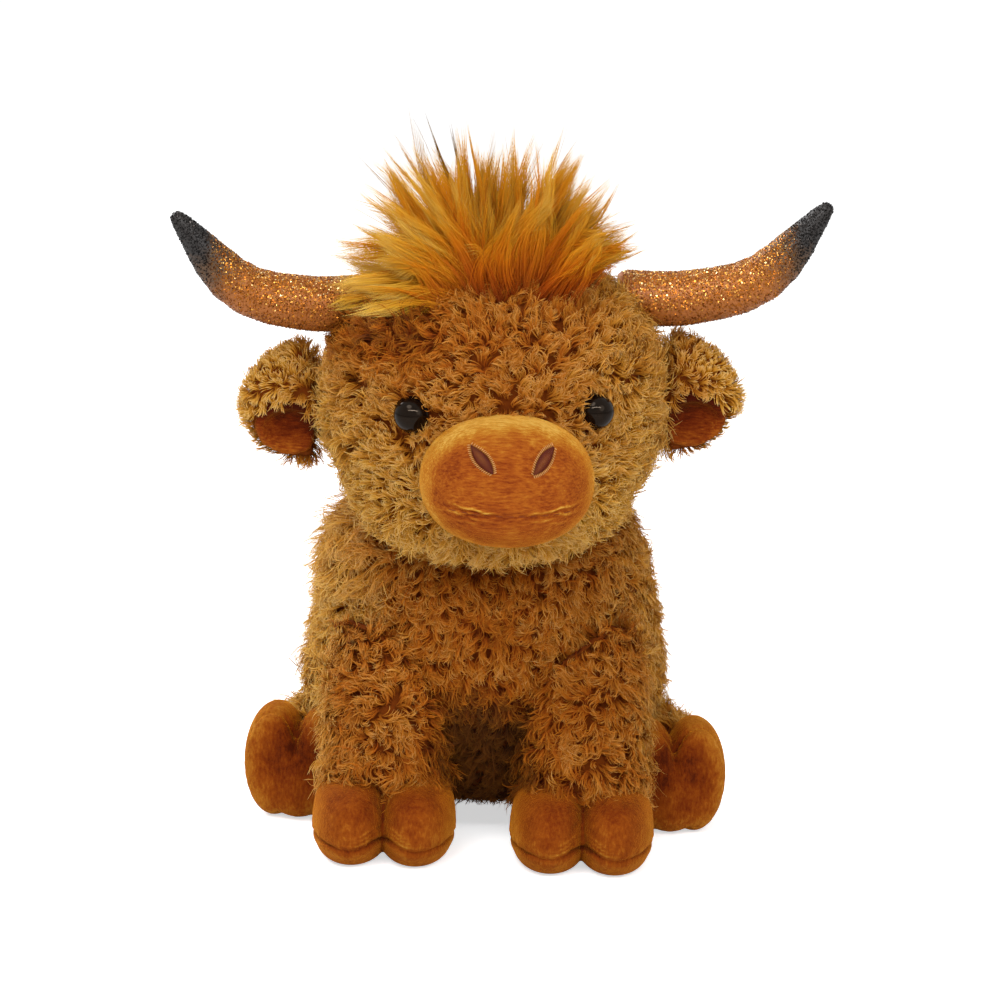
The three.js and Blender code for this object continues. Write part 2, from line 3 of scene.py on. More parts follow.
import bpy
import bmesh
import numpy as np
from mathutils import Matrix, Vector, noise


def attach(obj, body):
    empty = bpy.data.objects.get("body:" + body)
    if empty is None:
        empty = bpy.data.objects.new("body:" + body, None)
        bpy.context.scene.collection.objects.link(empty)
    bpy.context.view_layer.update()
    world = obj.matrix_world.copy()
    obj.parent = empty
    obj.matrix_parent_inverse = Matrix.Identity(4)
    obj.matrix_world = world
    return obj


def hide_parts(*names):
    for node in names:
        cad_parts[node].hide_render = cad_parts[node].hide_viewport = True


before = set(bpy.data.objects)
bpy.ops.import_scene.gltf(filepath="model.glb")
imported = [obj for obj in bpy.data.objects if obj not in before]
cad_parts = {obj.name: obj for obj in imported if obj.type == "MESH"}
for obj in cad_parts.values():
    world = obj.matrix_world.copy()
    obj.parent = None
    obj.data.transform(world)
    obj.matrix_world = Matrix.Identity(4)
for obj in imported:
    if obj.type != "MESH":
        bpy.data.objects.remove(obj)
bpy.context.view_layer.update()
mm = 0.001
# noise_vector takes its offsets from a seed that is otherwise the time
noise.seed_set(11)

down = np.array([0.0, 0.0, -1.0])


# Shared helpers

def shifted(x, y, z):
    return Matrix.Translation(Vector((x, y, z)) * mm)


def rotated(degrees, axis):
    return Matrix.Rotation(math.radians(degrees), 4, axis)


def linear(hexCode):
    channels = [int(hexCode[i:i + 2], 16) / 255 for i in (1, 3, 5)]
    return [c / 12.92 if c <= 0.04045 else ((c + 0.055) / 1.055) ** 2.4 for c in channels] + [1.0]


def fillRamp(ramp, stops):
    elements = ramp.color_ramp.elements
    while len(elements) < len(stops):
        elements.new(0.5)
    for element, (place, colour) in zip(elements, stops):
        element.position = place
        element.color = linear(colour)


# Adds a node, sets its properties or ramp stops, and sets or links its inputs. A node stands for its first output
def addNode(tree, kind, inputs=None, stops=None, **settings):
    node = tree.nodes.new("ShaderNode" + kind)
    for name, value in settings.items():
        setattr(node, name, value)
    if stops:
        fillRamp(node, stops)
    for name, value in (inputs or {}).items():
        if isinstance(value, bpy.types.Node):
            value = value.outputs[0]
        if isinstance(value, bpy.types.NodeSocket):
            tree.links.new(value, node.inputs[name])
        else:
            node.inputs[name].default_value = value
    return node


def newMaterial(name):
    material = bpy.data.materials.new(name)
    material.use_nodes = True
    tree = material.node_tree
    tree.nodes.clear()
    return material, tree


def addObject(name, data):
    thing = bpy.data.objects.new(name, data)
    bpy.context.scene.collection.objects.link(thing)
    return thing


def addPiece(name, mesh, material, body, replaced=()):
    piece = addObject(name, mesh)
    if material:
        mesh.materials.append(material)
    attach(piece, body)
    if replaced:
        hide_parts(*replaced)
    return piece


# A mesh straight from arrays: faces as rows of corner numbers, given in groups of one size each
def meshOf(name, points, faceGroups, smooth=True):
    mesh = bpy.data.meshes.new(name)
    faceGroups = [np.asarray(group, np.int32) for group in faceGroups if len(group)]
    sizes = np.concatenate([np.full(len(group), group.shape[1], np.int32) for group in faceGroups])
    corners = np.concatenate([group.ravel() for group in faceGroups])
    starts = np.concatenate([[0], np.cumsum(sizes)[:-1]]).astype(np.int32)
    mesh.vertices.add(len(points))
    mesh.vertices.foreach_set("co", np.asarray(points, np.float32).ravel())
    mesh.loops.add(len(corners))
    mesh.loops.foreach_set("vertex_index", corners)
    mesh.polygons.add(len(sizes))
    mesh.polygons.foreach_set("loop_start", starts)
    mesh.polygons.foreach_set("use_smooth", np.full(len(sizes), smooth))
    mesh.update(calc_edges=True)
    return mesh


def meshFrom(work, name):
    mesh = bpy.data.meshes.new(name)
    work.to_mesh(mesh)
    work.free()
    return mesh


def arrayOf(items, key, width, kind=np.float32):
    values = np.zeros(len(items) * width, kind)
    items.foreach_get(key, values)
    return values.reshape(-1, width)


def pointsAndNormals(mesh):
    return arrayOf(mesh.vertices, "co", 3).astype(float), arrayOf(mesh.vertices, "normal", 3).astype(float)


def movePoints(mesh, points):
    mesh.vertices.foreach_set("co", points.astype(np.float32).ravel())
    mesh.update()


def cornersOf(mesh):
    return arrayOf(mesh.loops, "vertex_index", 1, np.int32)[:, 0]


# Texture places, one for each corner of the mesh
def setUv(mesh, uv):
    mesh.uv_layers.new(name="OFBake").data.foreach_set("uv", uv.astype(np.float32).ravel())


def nodePoints(*nodes):
    return np.array([v.co[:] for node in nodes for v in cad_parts[node].data.vertices])


def hullOf(points, digits):
    work = bmesh.new()
    for point in np.unique(np.round(points, digits), axis=0):
        work.verts.new(point)
    bmesh.ops.convex_hull(work, input=work.verts)
    return work


def remeshed(name, mesh, voxel, rounds, inset=0.0):
    holder = addObject(name, mesh)
    remesh = holder.modifiers.new("remesh", "REMESH")
    remesh.mode = "VOXEL"
    remesh.voxel_size = voxel
    relax = holder.modifiers.new("relax", "SMOOTH")
    relax.iterations = rounds
    relax.factor = 0.5
    graph = bpy.context.evaluated_depsgraph_get()
    made = bpy.data.meshes.new_from_object(holder.evaluated_get(graph))
    bpy.data.objects.remove(holder)
    made.name = name
    if inset:
        points, normals = pointsAndNormals(made)
        movePoints(made, points - normals * inset)
    made.polygons.foreach_set("use_smooth", np.ones(len(made.polygons), bool))
    return made


# An even skin round a CAD node: its hull or itself, remeshed, smoothed and drawn in
def skinOf(name, node, hull, setup):
    if hull:
        work = hullOf(nodePoints(node), 6)
        bmesh.ops.delete(work, geom=[v for v in work.verts if not v.link_faces], context="VERTS")
    else:
        work = bmesh.new()
        work.from_mesh(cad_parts[node].data)
        bmesh.ops.remove_doubles(work, verts=work.verts, dist=0.001 * mm)
    return remeshed(name, meshFrom(work, name), setup["voxel"], setup["smoothing"], setup["inset"])


# How deep points lie inside the hull of CAD nodes, in metres, negative outside
def depthIn(points, *nodes):
    work = hullOf(nodePoints(*nodes), 5)
    bmesh.ops.recalc_face_normals(work, faces=work.faces)
    planes = np.array([[*f.normal, -f.normal.dot(f.verts[0].co)] for f in work.faces])
    work.free()
    depth = np.empty(len(points))
    # in parts, which keeps the table of points and planes small
    for start in range(0, len(points), 20000):
        part = points[start:start + 20000]
        depth[start:start + 20000] = -(part @ planes[:, :3].T + planes[:, 3]).max(axis=1)
    return depth


def unit(vectors):
    return vectors / np.maximum(np.linalg.norm(vectors, axis=-1, keepdims=True), 1e-12)


def gaussian(x, width):
    return np.exp(-(x / width) ** 2)


# From 0 at nothing to 1 at the width and beyond
def rise(x, width):
    return np.clip(x / width, 0, 1)


# Angles that divide a turn evenly
def circle(count):
    return np.linspace(0, 2 * math.pi, count, endpoint=False)


# Directions round each point of a line, from two directions across it
def aroundLine(side, lift, turn):
    return side[:, None, :] * np.cos(turn)[None, :, None] + lift[:, None, :] * np.sin(turn)[None, :, None]


# Faces between rings of points that follow one another
def tubeFaces(rows, around):
    r, a = np.meshgrid(np.arange(rows - 1), np.arange(around), indexing="ij")
    nextA = (a + 1) % around
    corners = [r * around + a, r * around + nextA, (r + 1) * around + nextA, (r + 1) * around + a]
    return np.stack(corners, axis=-1).reshape(-1, 4)


def placed(points, matrix):
    turn, shift = np.array(matrix.to_3x3()), np.array(matrix.translation)
    return points @ turn.T + shift


def swirlAt(points, size, seed):
    shift = Vector((seed * 3.7, seed * 1.3, seed * 2.1))
    return np.array([noise.noise_vector(Vector(p) / size + shift)[:] for p in points])


def noiseAt(points, size, seed):
    shift = Vector((seed * 2.3, seed * 5.1, seed * 0.7))
    return np.array([noise.noise(Vector(p) / size + shift) for p in points])


# Roots spread evenly over a skin, one to each cell of a grid of the given size
def scatter(mesh, gap, rng):
    points, normals = pointsAndNormals(mesh)
    mesh.calc_loop_triangles()
    triangles = arrayOf(mesh.loop_triangles, "vertices", 3, np.int32)
    a, b, c = (points[triangles[:, i]] for i in range(3))
    areas = np.linalg.norm(np.cross(b - a, c - a), axis=1) / 2
    triesPerCell = 5
    count = int(areas.sum() / gap ** 2 * triesPerCell)
    picked = rng.choice(len(triangles), count, p=areas / areas.sum())
    u, v = rng.random(count), rng.random(count)
    flip = u + v > 1
    u[flip], v[flip] = 1 - u[flip], 1 - v[flip]
    w = 1 - u - v
    roots = a[picked] * w[:, None] + b[picked] * u[:, None] + c[picked] * v[:, None]
    na, nb, nc = (normals[triangles[picked, i]] for i in range(3))
    facing = unit(na * w[:, None] + nb * u[:, None] + nc * v[:, None])
    cells = np.floor(roots / gap).astype(np.int64)
    # primes that give each cell a number of its own
    keys = cells[:, 0] * 73856093 ^ cells[:, 1] * 19349663 ^ cells[:, 2] * 83492791
    first = np.unique(keys, return_index=True)[1]
    return roots[first], facing[first]


# The left and right values of each row of a ribbon in turn, with one at its tip
def interleaved(left, right, tip):
    both = np.stack([left[:, :-1], right[:, :-1]], axis=2).reshape(len(left), -1, 3)
    return np.concatenate([both, tip[:, -1:]], axis=1)


# Ribbons along rows of points, tapering to their tips, which face away from the skin
def ribbonMesh(name, lines, outward, widths, shades, material, roundness, rng):
    count, rows = lines.shape[:2]
    perStrand = 2 * rows - 1
    tangents = unit(np.gradient(lines, axis=1))
    side = unit(np.cross(tangents, outward + 1e-6))
    lift = np.cross(side, tangents)
    twist = rng.normal(0, 0.5, count)[:, None, None]
    side, lift = side * np.cos(twist) + lift * np.sin(twist), lift * np.cos(twist) - side * np.sin(twist)
    half = side * widths[:, :, None] / 2
    points = interleaved(lines - half, lines + half, lines)
    base = np.arange(count)[:, None] * perStrand
    step = 2 * np.arange(rows - 2)[None, :]
    quads = np.stack([base + step + corner for corner in (0, 1, 3, 2)], axis=-1).reshape(-1, 4)
    tips = base + perStrand - np.array([3, 2, 1])
    mesh = meshOf(name, points.reshape(-1, 3), [quads, tips])
    along = np.repeat(np.linspace(0, 1, rows), 2)[:-1]
    uv = np.stack(np.broadcast_arrays(shades[:, None], along[None, :]), axis=-1)
    setUv(mesh, uv.reshape(-1, 2)[cornersOf(mesh)])
    # each ribbon is shaded as if it were a little rounded
    bent = unit(lift * (1 - roundness) + outward * roundness)
    edge = side * 0.35
    normals = interleaved(unit(bent - edge), unit(bent + edge), bent)
    mesh.normals_split_custom_set_from_vertices(normals.reshape(-1, 3).astype(np.float32))
    mesh.materials.append(material)
    return mesh


# The neck, about which the head is turned and tilted, as in the part's source
headMatrix = shifted(-0.5, -42.15, 112) @ rotated(-1.5, "Y") @ rotated(5.5, "Z")


# Camera, at the photograph's height, distance and slight roll

cameraSetup = {"aim": Vector((3, -54.1, 118)) * mm, "elevation": 12.5, "roll": 1.5, "distance": 1.3,
               "widthAtAim": 340 * mm}


def makeCamera(setup):
    data = bpy.data.cameras.new("camera")
    data.sensor_width = 36
    data.lens = 36 * setup["distance"] / setup["widthAtAim"]
    camera = addObject("camera", data)
    elevation, roll = math.radians(setup["elevation"]), math.radians(setup["roll"])
    back = Vector((0, -math.cos(elevation), math.sin(elevation)))
    up = Vector((0, math.sin(elevation), math.cos(elevation)))
    across = Vector((1, 0, 0)) * math.cos(roll) + up * math.sin(roll)
    upward = back.cross(across)
    turn = Matrix((across, upward, back)).transposed().to_4x4()
    camera.matrix_world = Matrix.Translation(setup["aim"] + back * setup["distance"]) @ turn
    data.clip_start, data.clip_end = 0.05, 20
    bpy.context.scene.camera = camera


makeCamera(cameraSetup)
print("camera set")


# Materials of the pile

# where a strand's texture place is plain brown, between deep at 0 and golden at 1
brownAt = 0.15


# Polyester pile: each strand lies between deep, brown and golden, all darker at the root, partly the pile's own
# brown under tan tips and partly painted shade of the pile's depth, and light glows through it. The deep tone is
# painted shade where the pile lies in shade, and the hair's dark strands. The colours are given from root to tip, at
# the same places of each ramp
def pileMaterial(name, places, deep, brown, golden, through=0.3):
    material, tree = newMaterial(name)
    place = addNode(tree, "UVMap", uv_map="OFBake")
    split = addNode(tree, "SeparateXYZ", {"Vector": place})
    tones = [addNode(tree, "ValToRGB", {"Fac": split.outputs["Y"]}, list(zip(places, colours.split())))
             for colours in (deep, brown, golden)]
    lit = addNode(tree, "MapRange", {"Value": split.outputs["X"], "From Max": brownAt})
    browner = addNode(tree, "Mix", {0: lit, 6: tones[0], 7: tones[1]}, data_type="RGBA")
    gilt = addNode(tree, "MapRange", {"Value": split.outputs["X"], "From Min": brownAt})
    colour = addNode(tree, "Mix", {0: gilt, 6: browner.outputs[2], 7: tones[2]},
                     data_type="RGBA")
    fibre = addNode(tree, "BsdfPrincipled", {"Base Color": colour.outputs[2], "Roughness": 0.7, "IOR": 1.45,
                    "Specular IOR Level": 0.12, "Sheen Weight": 0.15, "Sheen Roughness": 0.5,
                    "Sheen Tint": linear("#e0a850")})
    glow = addNode(tree, "BsdfTranslucent", {"Color": colour.outputs[2]})
    both = addNode(tree, "MixShader", {0: through, 1: fibre, 2: glow})
    addNode(tree, "OutputMaterial", {"Surface": both})
    return material


# Knitted backing that the pile is woven into, coloured dark as painted shade, since little light gets down to it
def pileBacking():
    material, tree = newMaterial("knitted backing in painted shade")
    grain = addNode(tree, "TexNoise", {"Scale": 1 / (1.5 * mm), "Detail": 3})
    tone = addNode(tree, "ValToRGB", {"Fac": grain}, [(0.35, "#5a2604"), (0.7, "#7a3a08")])
    surface = addNode(tree, "BsdfPrincipled", {"Base Color": tone, "Roughness": 0.95,
                      "Specular IOR Level": 0.1})
    addNode(tree, "OutputMaterial", {"Surface": surface})
    return material


furMaterial = pileMaterial("curly polyester pile", (0, 0.3, 0.62, 0.86, 1),
                           "#200c02 #341a04 #482606 #56300a #66400e",
                           "#662302 #8e3f03 #aa580a #ba6c16 #c08026",
                           "#7e4506 #b27016 #d29a38 #e2b864 #ecd092")
backingInPaintedShade = pileBacking()


# A shade is 0 for brown, 1 for golden and below zero for deep, which serves as painted shade and for dark strands
def toneFrom(shade):
    return np.where(shade > 0, brownAt + (1 - brownAt) * shade, brownAt * (1 + 2 * shade)).clip(0.01, 0.99)


# A padded skin with a knitted backing, from which pile grows, in place of its node and what is inside it
def backedSkin(node, hull, setup, body, inside=()):
    skin = skinOf(f"{node}_skin", node, hull, setup)
    piece = addPiece(f"{node}_skin", skin, backingInPaintedShade, body, [node, *inside])
    return skin


# Curly fur: locks of fine strands that rise, lie over and turn to a hook, laid in swirls.
# Leans are degrees from upright at root and tip; bends are the least and the most a lock turns

furSetup = {"lockGap": 2.15 * mm, "strandsPerLock": 10, "spread": 0.95 * mm, "length": 7.9 * mm, "lean": (14, 106),
            "bend": (60, 190), "width": 0.28 * mm, "rows": 6, "gather": 0.28, "strays": 0.05, "frizz": 0.21,
            "swirls": [(17 * mm, 1.8), (6 * mm, 1.6)], "taper": [0.85, 1.0, 1.0, 1.0, 0.95, 0.3],
            "shade": 0.32, "shadeByLock": 0.09, "shadeByPlace": 0.18, "shadeByStrand": 0.06, "patch": 14 * mm}
# the most triangles in one piece of fur, which is split into pieces no larger; larger
# pieces would be thinned when they are exported
trianglesInPart = 190000


def growFur(name, mesh, lay, seed, setup=furSetup, lengthAt=None, shadeAt=None, keep=None):
    rng = np.random.default_rng(seed)
    roots, facing = scatter(mesh, setup["lockGap"], rng)
    if keep is not None:
        kept = keep(roots, facing)
        roots, facing = roots[kept], facing[kept]
    count, rows = len(roots), setup["rows"]
    flow = lay(roots, facing) + rng.normal(0, 0.4, (count, 3))
    for size, weight in setup["swirls"]:
        flow += swirlAt(roots, size, seed) * weight
    flow -= facing * (flow * facing).sum(axis=1, keepdims=True)
    flow = unit(flow)
    length = setup["length"] * rng.normal(1, 0.15, count).clip(0.6, 1.5)
    if lengthAt is not None:
        length *= lengthAt(roots)
    bend = np.radians(rng.uniform(*setup["bend"], count)) * rng.choice([-1, 1], count)
    slant = rng.normal(1, 0.13, count).clip(0.6, 1.25)
    shades = (setup["shade"] + setup["shadeByLock"] * rng.normal(0, 1, count)
              + setup["shadeByPlace"] * noiseAt(roots, setup["patch"], seed))
    if shadeAt is not None:
        shades += shadeAt(roots)
    # every lock becomes its strands, of which a few stand out of it
    owner = np.repeat(np.arange(count), setup["strandsPerLock"])
    strands = len(owner)
    stray = rng.random(strands) < setup["strays"]
    along = np.linspace(0, 1, rows)
    turned = bend[owner] * rng.normal(1, setup["frizz"], strands) * np.where(stray, 0.4, 1)
    heading = (turned[:, None] * (along ** 1.4 - 0.4) + rng.normal(0, setup["frizz"], strands)[:, None])[:, :, None]
    leanFrom, leanTo = np.radians(setup["lean"])
    slope = slant[owner] * rng.normal(1, setup["frizz"] / 2, strands).clip(0.5, 1.3) * np.where(stray, 0.75, 1)
    lean = (slope[:, None] * (leanFrom + (leanTo - leanFrom) * along))[:, :, None]
    up, first = facing[owner][:, None, :], flow[owner][:, None, :]
    across = np.cross(up, first)
    ahead = first * np.cos(heading) + across * np.sin(heading)
    sideways = across * np.cos(heading) - first * np.sin(heading)
    raised = up * np.sin(lean) - ahead * np.cos(lean)
    going = up * np.cos(lean) + ahead * np.sin(lean)
    reach = length[owner] * rng.normal(1, 0.1, strands).clip(0.6, 1.3) * np.where(stray, 1.15, 1)
    lines = np.zeros((strands, rows, 3))
    lines[:, 1:] = np.cumsum((going[:, 1:] + going[:, :-1]) / 2, axis=1) * (reach / (rows - 1))[:, None, None]
    spin = rng.random(strands) * 2 * math.pi
    away = np.sqrt(rng.random(strands))
    offset = (sideways * np.cos(spin)[:, None, None] + raised * np.sin(spin)[:, None, None]) * away[:, None, None]
    lines += roots[owner][:, None, :] + offset * setup["spread"] * (1 - setup["gather"] * along ** 2)[None, :, None]
    # shaded as a round lock, not as single ribbons
    outward = unit(up * 0.7 + offset * 0.4 - down * 0.15)
    widths = setup["width"] * rng.normal(1, 0.2, strands).clip(0.5, 1.6)[:, None] * np.array(setup["taper"])[None, :]
    shades = toneFrom(shades[owner] + setup["shadeByStrand"] * rng.normal(0, 1, strands))
    print(f"{name}: {count} locks, {strands} strands")
    return lines, outward, widths, shades, rng


def addFur(name, grown, body, material=furMaterial, replaced=(), roundness=0.75):
    lines, outward, widths, shades, rng = grown
    triangles = len(lines) * (2 * lines.shape[1] - 3)
    parts = math.ceil(triangles / trianglesInPart)
    turn = np.argsort(np.arctan2(lines[:, 0, 0] - lines[:, 0, 0].mean(), lines[:, 0, 1] - lines[:, 0, 1].mean()))
    for number, chosen in enumerate(np.array_split(turn, parts)):
        partName = f"{name}_{number + 1}" if parts > 1 else name
        mesh = ribbonMesh(partName, lines[chosen], outward[chosen], widths[chosen], shades[chosen], material,
                          roundness, rng)
        addPiece(partName, mesh, None, body, replaced if number == 0 else ())


# Torso

torsoSetup = {"voxel": 3 * mm, "smoothing": 8, "inset": 5.0 * mm}
# how far the pile carries on under what is sewn over it
underSeam = 9 * mm

bodySkin = backedSkin("body_cover", True, torsoSetup, "torso", inside=["body_filling", "pellet_pouch"])


# Combed down
def bodyLay(points, facing):
    return np.tile(down * 0.8, (len(points), 1))


# The pile is palest on the cow's right flank, partly its golden tips and partly painted light where the lamps fall
# from that side.
# The belly between the legs and the middle of the chest under the head are darker: painted shade
def bodyToneAndPaintedLight(points):
    x, y, z = (points / mm).T
    golden = 1.05 * rise(-x - 30, 25) + 0.5 * rise(x - 36, 22)
    bellyPaintedShade = rise(64 - z, 30) * gaussian(x, 24) * rise(-y - 30, 20)
    golden *= 0.5 + 0.5 * rise(-y - 10, 30)
    return golden - 1.1 * bellyPaintedShade - 0.26 * gaussian(x, 30)


# Long at the cow's right haunch and shoulder, and short under the seat
def bodyLength(points):
    x, y, z = (points / mm).T
    longer = 0.5 * rise(-x - 34, 20) * rise(74 - z, 30)
    trimmed = 0.6 * rise(22 - z, 10) * gaussian(x, 40)
    shoulder = 0.9 * rise(-x - 24, 16) * gaussian(z - 98, 17)
    return 1 + longer + shoulder - trimmed - 0.1 * rise(x - 40, 20)


bodyFur = growFur("body_fur", bodySkin, bodyLay, 11, lengthAt=bodyLength, shadeAt=bodyToneAndPaintedLight,
                  keep=lambda p, n: depthIn(p, "head_cover") < underSeam)
addFur("body_fur", bodyFur, "torso")


# Head

headSkin = backedSkin("head_cover", True, torsoSetup, "torso", inside=["head_filling"])

noseCentre = headMatrix @ (Vector((0, -66, 24)) * mm)


# Combed away from the nose, and outwards beside the ears
def headLay(points, facing):
    fromNose = unit(points - np.array(noseCentre))
    byEar = gaussian(np.abs(points[:, 0]) / mm - 56, 8) * gaussian(points[:, 2] / mm - 142, 13)
    return fromNose * 0.9 + down * 0.25 + (byEar * np.sign(points[:, 0]))[:, None] * np.array([2.5, -1.0, 0])


# Eyes: where each is set on the head, with its axis along its own Y

eyeSetup = {"radius": 5.7, "dome": 5.2, "sink": 3.0, "rim": 0.5, "spacing": 64, "height": 44.5,
            "headHalf": (59.5, 52), "headY": -14, "noRoots": (3.8, 4.9), "noStrands": (3.9, 4.8), "reach": 25}


def eyeMatrix(side, setup=eyeSetup):
    halfX, halfY = setup["headHalf"]
    sideways = side * setup["spacing"] / 2
    y = -halfY * math.sqrt(1 - (sideways / halfX) ** 2)
    angle = math.atan2(sideways / halfX ** 2, -y / halfY ** 2)
    return headMatrix @ shifted(sideways, setup["headY"] + y, setup["height"]) @ Matrix.Rotation(angle, 4, "Z")


# No pile grows on the eyes, nor far under the muzzle and the body
def keepOnHead(points, facing, setup=eyeSetup):
    clear = np.ones(len(points), bool)
    halfX, halfZ = setup["noRoots"]
    for eyeSide in (-1, 1):
        x, y, z = (placed(points, eyeMatrix(eyeSide).inverted()) / mm).T
        clear &= (np.hypot(x / halfX, z / halfZ) > 1) | (np.abs(y) > setup["reach"])
    clear &= depthIn(points, "muzzle") < 2 * mm
    clear &= depthIn(points, "body_cover") < 8 * mm
    return clear


# Paler on the cheeks and round the muzzle than on the forehead; the paler sides are partly the pile's golden tips
# and partly painted light
def headToneAndPaintedLight(points):
    x, y, z = (points / mm).T
    high = rise(z - 162, 16)
    sides = rise(np.abs(x) - 10, 44)
    # the top is darker, a painted shadow of the horn and hair, most at the top left, and paler at the top right
    shadow = 0.36 * rise(-x - 12, 16) - 0.45 * rise(x - 20, 16)
    return 0.5 * sides * (1 - high) + 0.52 * rise(158 - z, 34) - 0.05 - (0.12 + shadow) * high


# Longer round the ears' roots and along the chin
def headLength(points):
    x, y, z = (points / mm).T
    chin = gaussian(z - 114, 9) * rise(-80 - y, 10)
    return 1 + 0.8 * gaussian(np.abs(x) - 57, 8) * gaussian(z - 143, 15) + 0.35 * chin


headFurSetup = dict(furSetup, length=7 * mm, lockGap=2.1 * mm)
headFur = growFur("head_fur", headSkin, headLay, 12, headFurSetup, headLength, headToneAndPaintedLight, keepOnHead)
# strands are combed off the eyes, and only lie over their rims
halfX, halfZ = eyeSetup["noStrands"]
for eyeSide in (-1, 1):
    local = placed(headFur[0], eyeMatrix(eyeSide).inverted())
    across = np.hypot(local[:, :, 0] / halfX, local[:, :, 2] / halfZ) / mm
    near = np.abs(local[:, :, 1]) < eyeSetup["reach"] * mm
    pushed = np.where((across < 1) & near, 1 / np.maximum(across, 0.05), 1)
    local[:, :, [0, 2]] *= pushed[:, :, None]
    headFur[0][:] = placed(local, eyeMatrix(eyeSide))
addFur("head_fur", headFur, "torso")
print("torso and head made")


# Legs, each its own joint's body

legSetup = {"voxel": 2.5 * mm, "smoothing": 6, "inset": 5.0 * mm}


# Painted light on the legs' outer sides, strongest on the cow's right where the lamps fall, and painted shade
# between the legs
def legPaintedLightAndShade(points):
    x = points[:, 0] / mm
    outerPaintedLight = np.where(x < 0, 1.0, 0.6) * rise(np.abs(x) - 46, 9)
    return 0.9 * outerPaintedLight - 0.45 * rise(28 - np.abs(x), 10) - 0.15


# The front legs' pile hangs over their hooves
def frontLegLength(points):
    return 1 + 0.35 * rise(38 - points[:, 2] / mm, 10)


# Combed down, but every way at the leg's top, so that it closes over the seam with the body
def legLay(points, facing):
    nearTop = rise(points[:, 2] - points[:, 2].max() + 16 * mm, 10 * mm)
    return down * (0.8 - 0.8 * nearTop)[:, None]


seed = 20
for limb in ("front", "hind"):
    for side in ("left", "right"):
        node, hoof = f"{limb}_leg_{side}", f"{limb}_hoof_{side}"
        skin = backedSkin(node, True, legSetup, node)
        seed += 1
        grown = growFur(f"{node}_fur", skin, legLay, seed, shadeAt=legPaintedLightAndShade,
                        lengthAt=frontLegLength if limb == "front" else None,
                        keep=lambda p, n: (depthIn(p, hoof) < 1 * mm) & (depthIn(p, "body_cover") < underSeam))
        addFur(f"{node}_fur", grown, node)
print("legs made")


# Smooth forms

# A smooth line of the given number of points through the stations
def lineThrough(stations, count):
    knots = np.asarray(stations, float)
    knots = np.vstack([2 * knots[0] - knots[1], knots, 2 * knots[-1] - knots[-2]])
    spans = len(knots) - 3
    at = np.linspace(0, spans, count * 4)
    span = np.minimum(at.astype(int), spans - 1)
    t = (at - span)[:, None]
    a, b, c, d = (knots[span + i] for i in range(4))
    fine = 0.5 * (2 * b + (c - a) * t + (2 * a - 5 * b + 4 * c - d) * t ** 2 + (3 * b - a - 3 * c + d) * t ** 3)
    length = np.concatenate([[0], np.cumsum(np.linalg.norm(np.diff(fine, axis=0), axis=1))])
    wanted = np.linspace(0, length[-1], count)
    return np.stack([np.interp(wanted, length, fine[:, i]) for i in range(knots.shape[1])], axis=1)


# A closed mesh from rings of points, with a pole beyond the first and the last ring
def closedRings(name, rings, poles):
    rows, around = rings.shape[:2]
    points = np.vstack([rings.reshape(-1, 3), poles])
    spokes = np.arange(around)
    first, last = rows * around, rows * around + 1
    start = np.stack([np.full(around, first), (spokes + 1) % around, spokes], axis=-1)
    end = (rows - 1) * around
    close = np.stack([np.full(around, last), end + spokes, end + (spokes + 1) % around], axis=-1)
    return meshOf(name, points, [tubeFaces(rows, around), start, close])


# Short polyester velour: rust brown, brushed in fine lines. The mesh gives in a point attribute, from 0 to 1, its
# painted light
# and shade: golden where it is painted lit, darker where it is painted shaded
def velour(name, stops, sheen=0.8, napSize=(4.0, 0.7, 0.7), streak=1.3):
    material, tree = newMaterial(name)
    place = addNode(tree, "TexCoord").outputs["Object"]
    paintedLightAndTone = addNode(tree, "Attribute", attribute_name="toneAndPaintedLight").outputs["Fac"]
    broad = addNode(tree, "TexNoise", {"Vector": place, "Scale": 1 / (7 * mm), "Detail": 5, "Roughness": 0.65})
    stretch = addNode(tree, "Mapping", {"Vector": place, "Scale": [1 / (size * mm) for size in napSize]})
    lines = addNode(tree, "TexNoise", {"Vector": stretch, "Scale": 1.0, "Detail": 4, "Roughness": 0.7})
    mottledWithPaintedLight = addNode(tree, "Math", {0: broad, 1: 0.8, 2: paintedLightAndTone}, operation="MULTIPLY_ADD")
    streaked = addNode(tree, "Math", {0: lines, 1: streak, 2: mottledWithPaintedLight}, operation="MULTIPLY_ADD")
    level = addNode(tree, "Math", {0: streaked, 1: 0.19 + streak / 2}, operation="SUBTRACT")
    tone = addNode(tree, "ValToRGB", {"Fac": level}, stops)
    fibre = addNode(tree, "TexNoise", {"Vector": place, "Scale": 1 / (0.5 * mm), "Detail": 2})
    both = addNode(tree, "Math", {0: fibre, 1: lines}, operation="ADD")
    relief = addNode(tree, "Bump", {"Height": both, "Strength": 0.8, "Distance": 0.5 * mm})
    surface = addNode(tree, "BsdfPrincipled", {"Base Color": tone, "Roughness": 0.9, "IOR": 1.45,
                      "Specular IOR Level": 0.08, "Sheen Weight": sheen, "Sheen Roughness": 0.35,
                      "Sheen Tint": linear("#d98a1e"), "Normal": relief})
    addNode(tree, "OutputMaterial", {"Surface": surface})
    return material


def setToneAndPaintedLight(mesh, values):
    layer = mesh.attributes.new("toneAndPaintedLight", "FLOAT", "POINT")
    layer.data.foreach_set("value", np.asarray(values, np.float32))


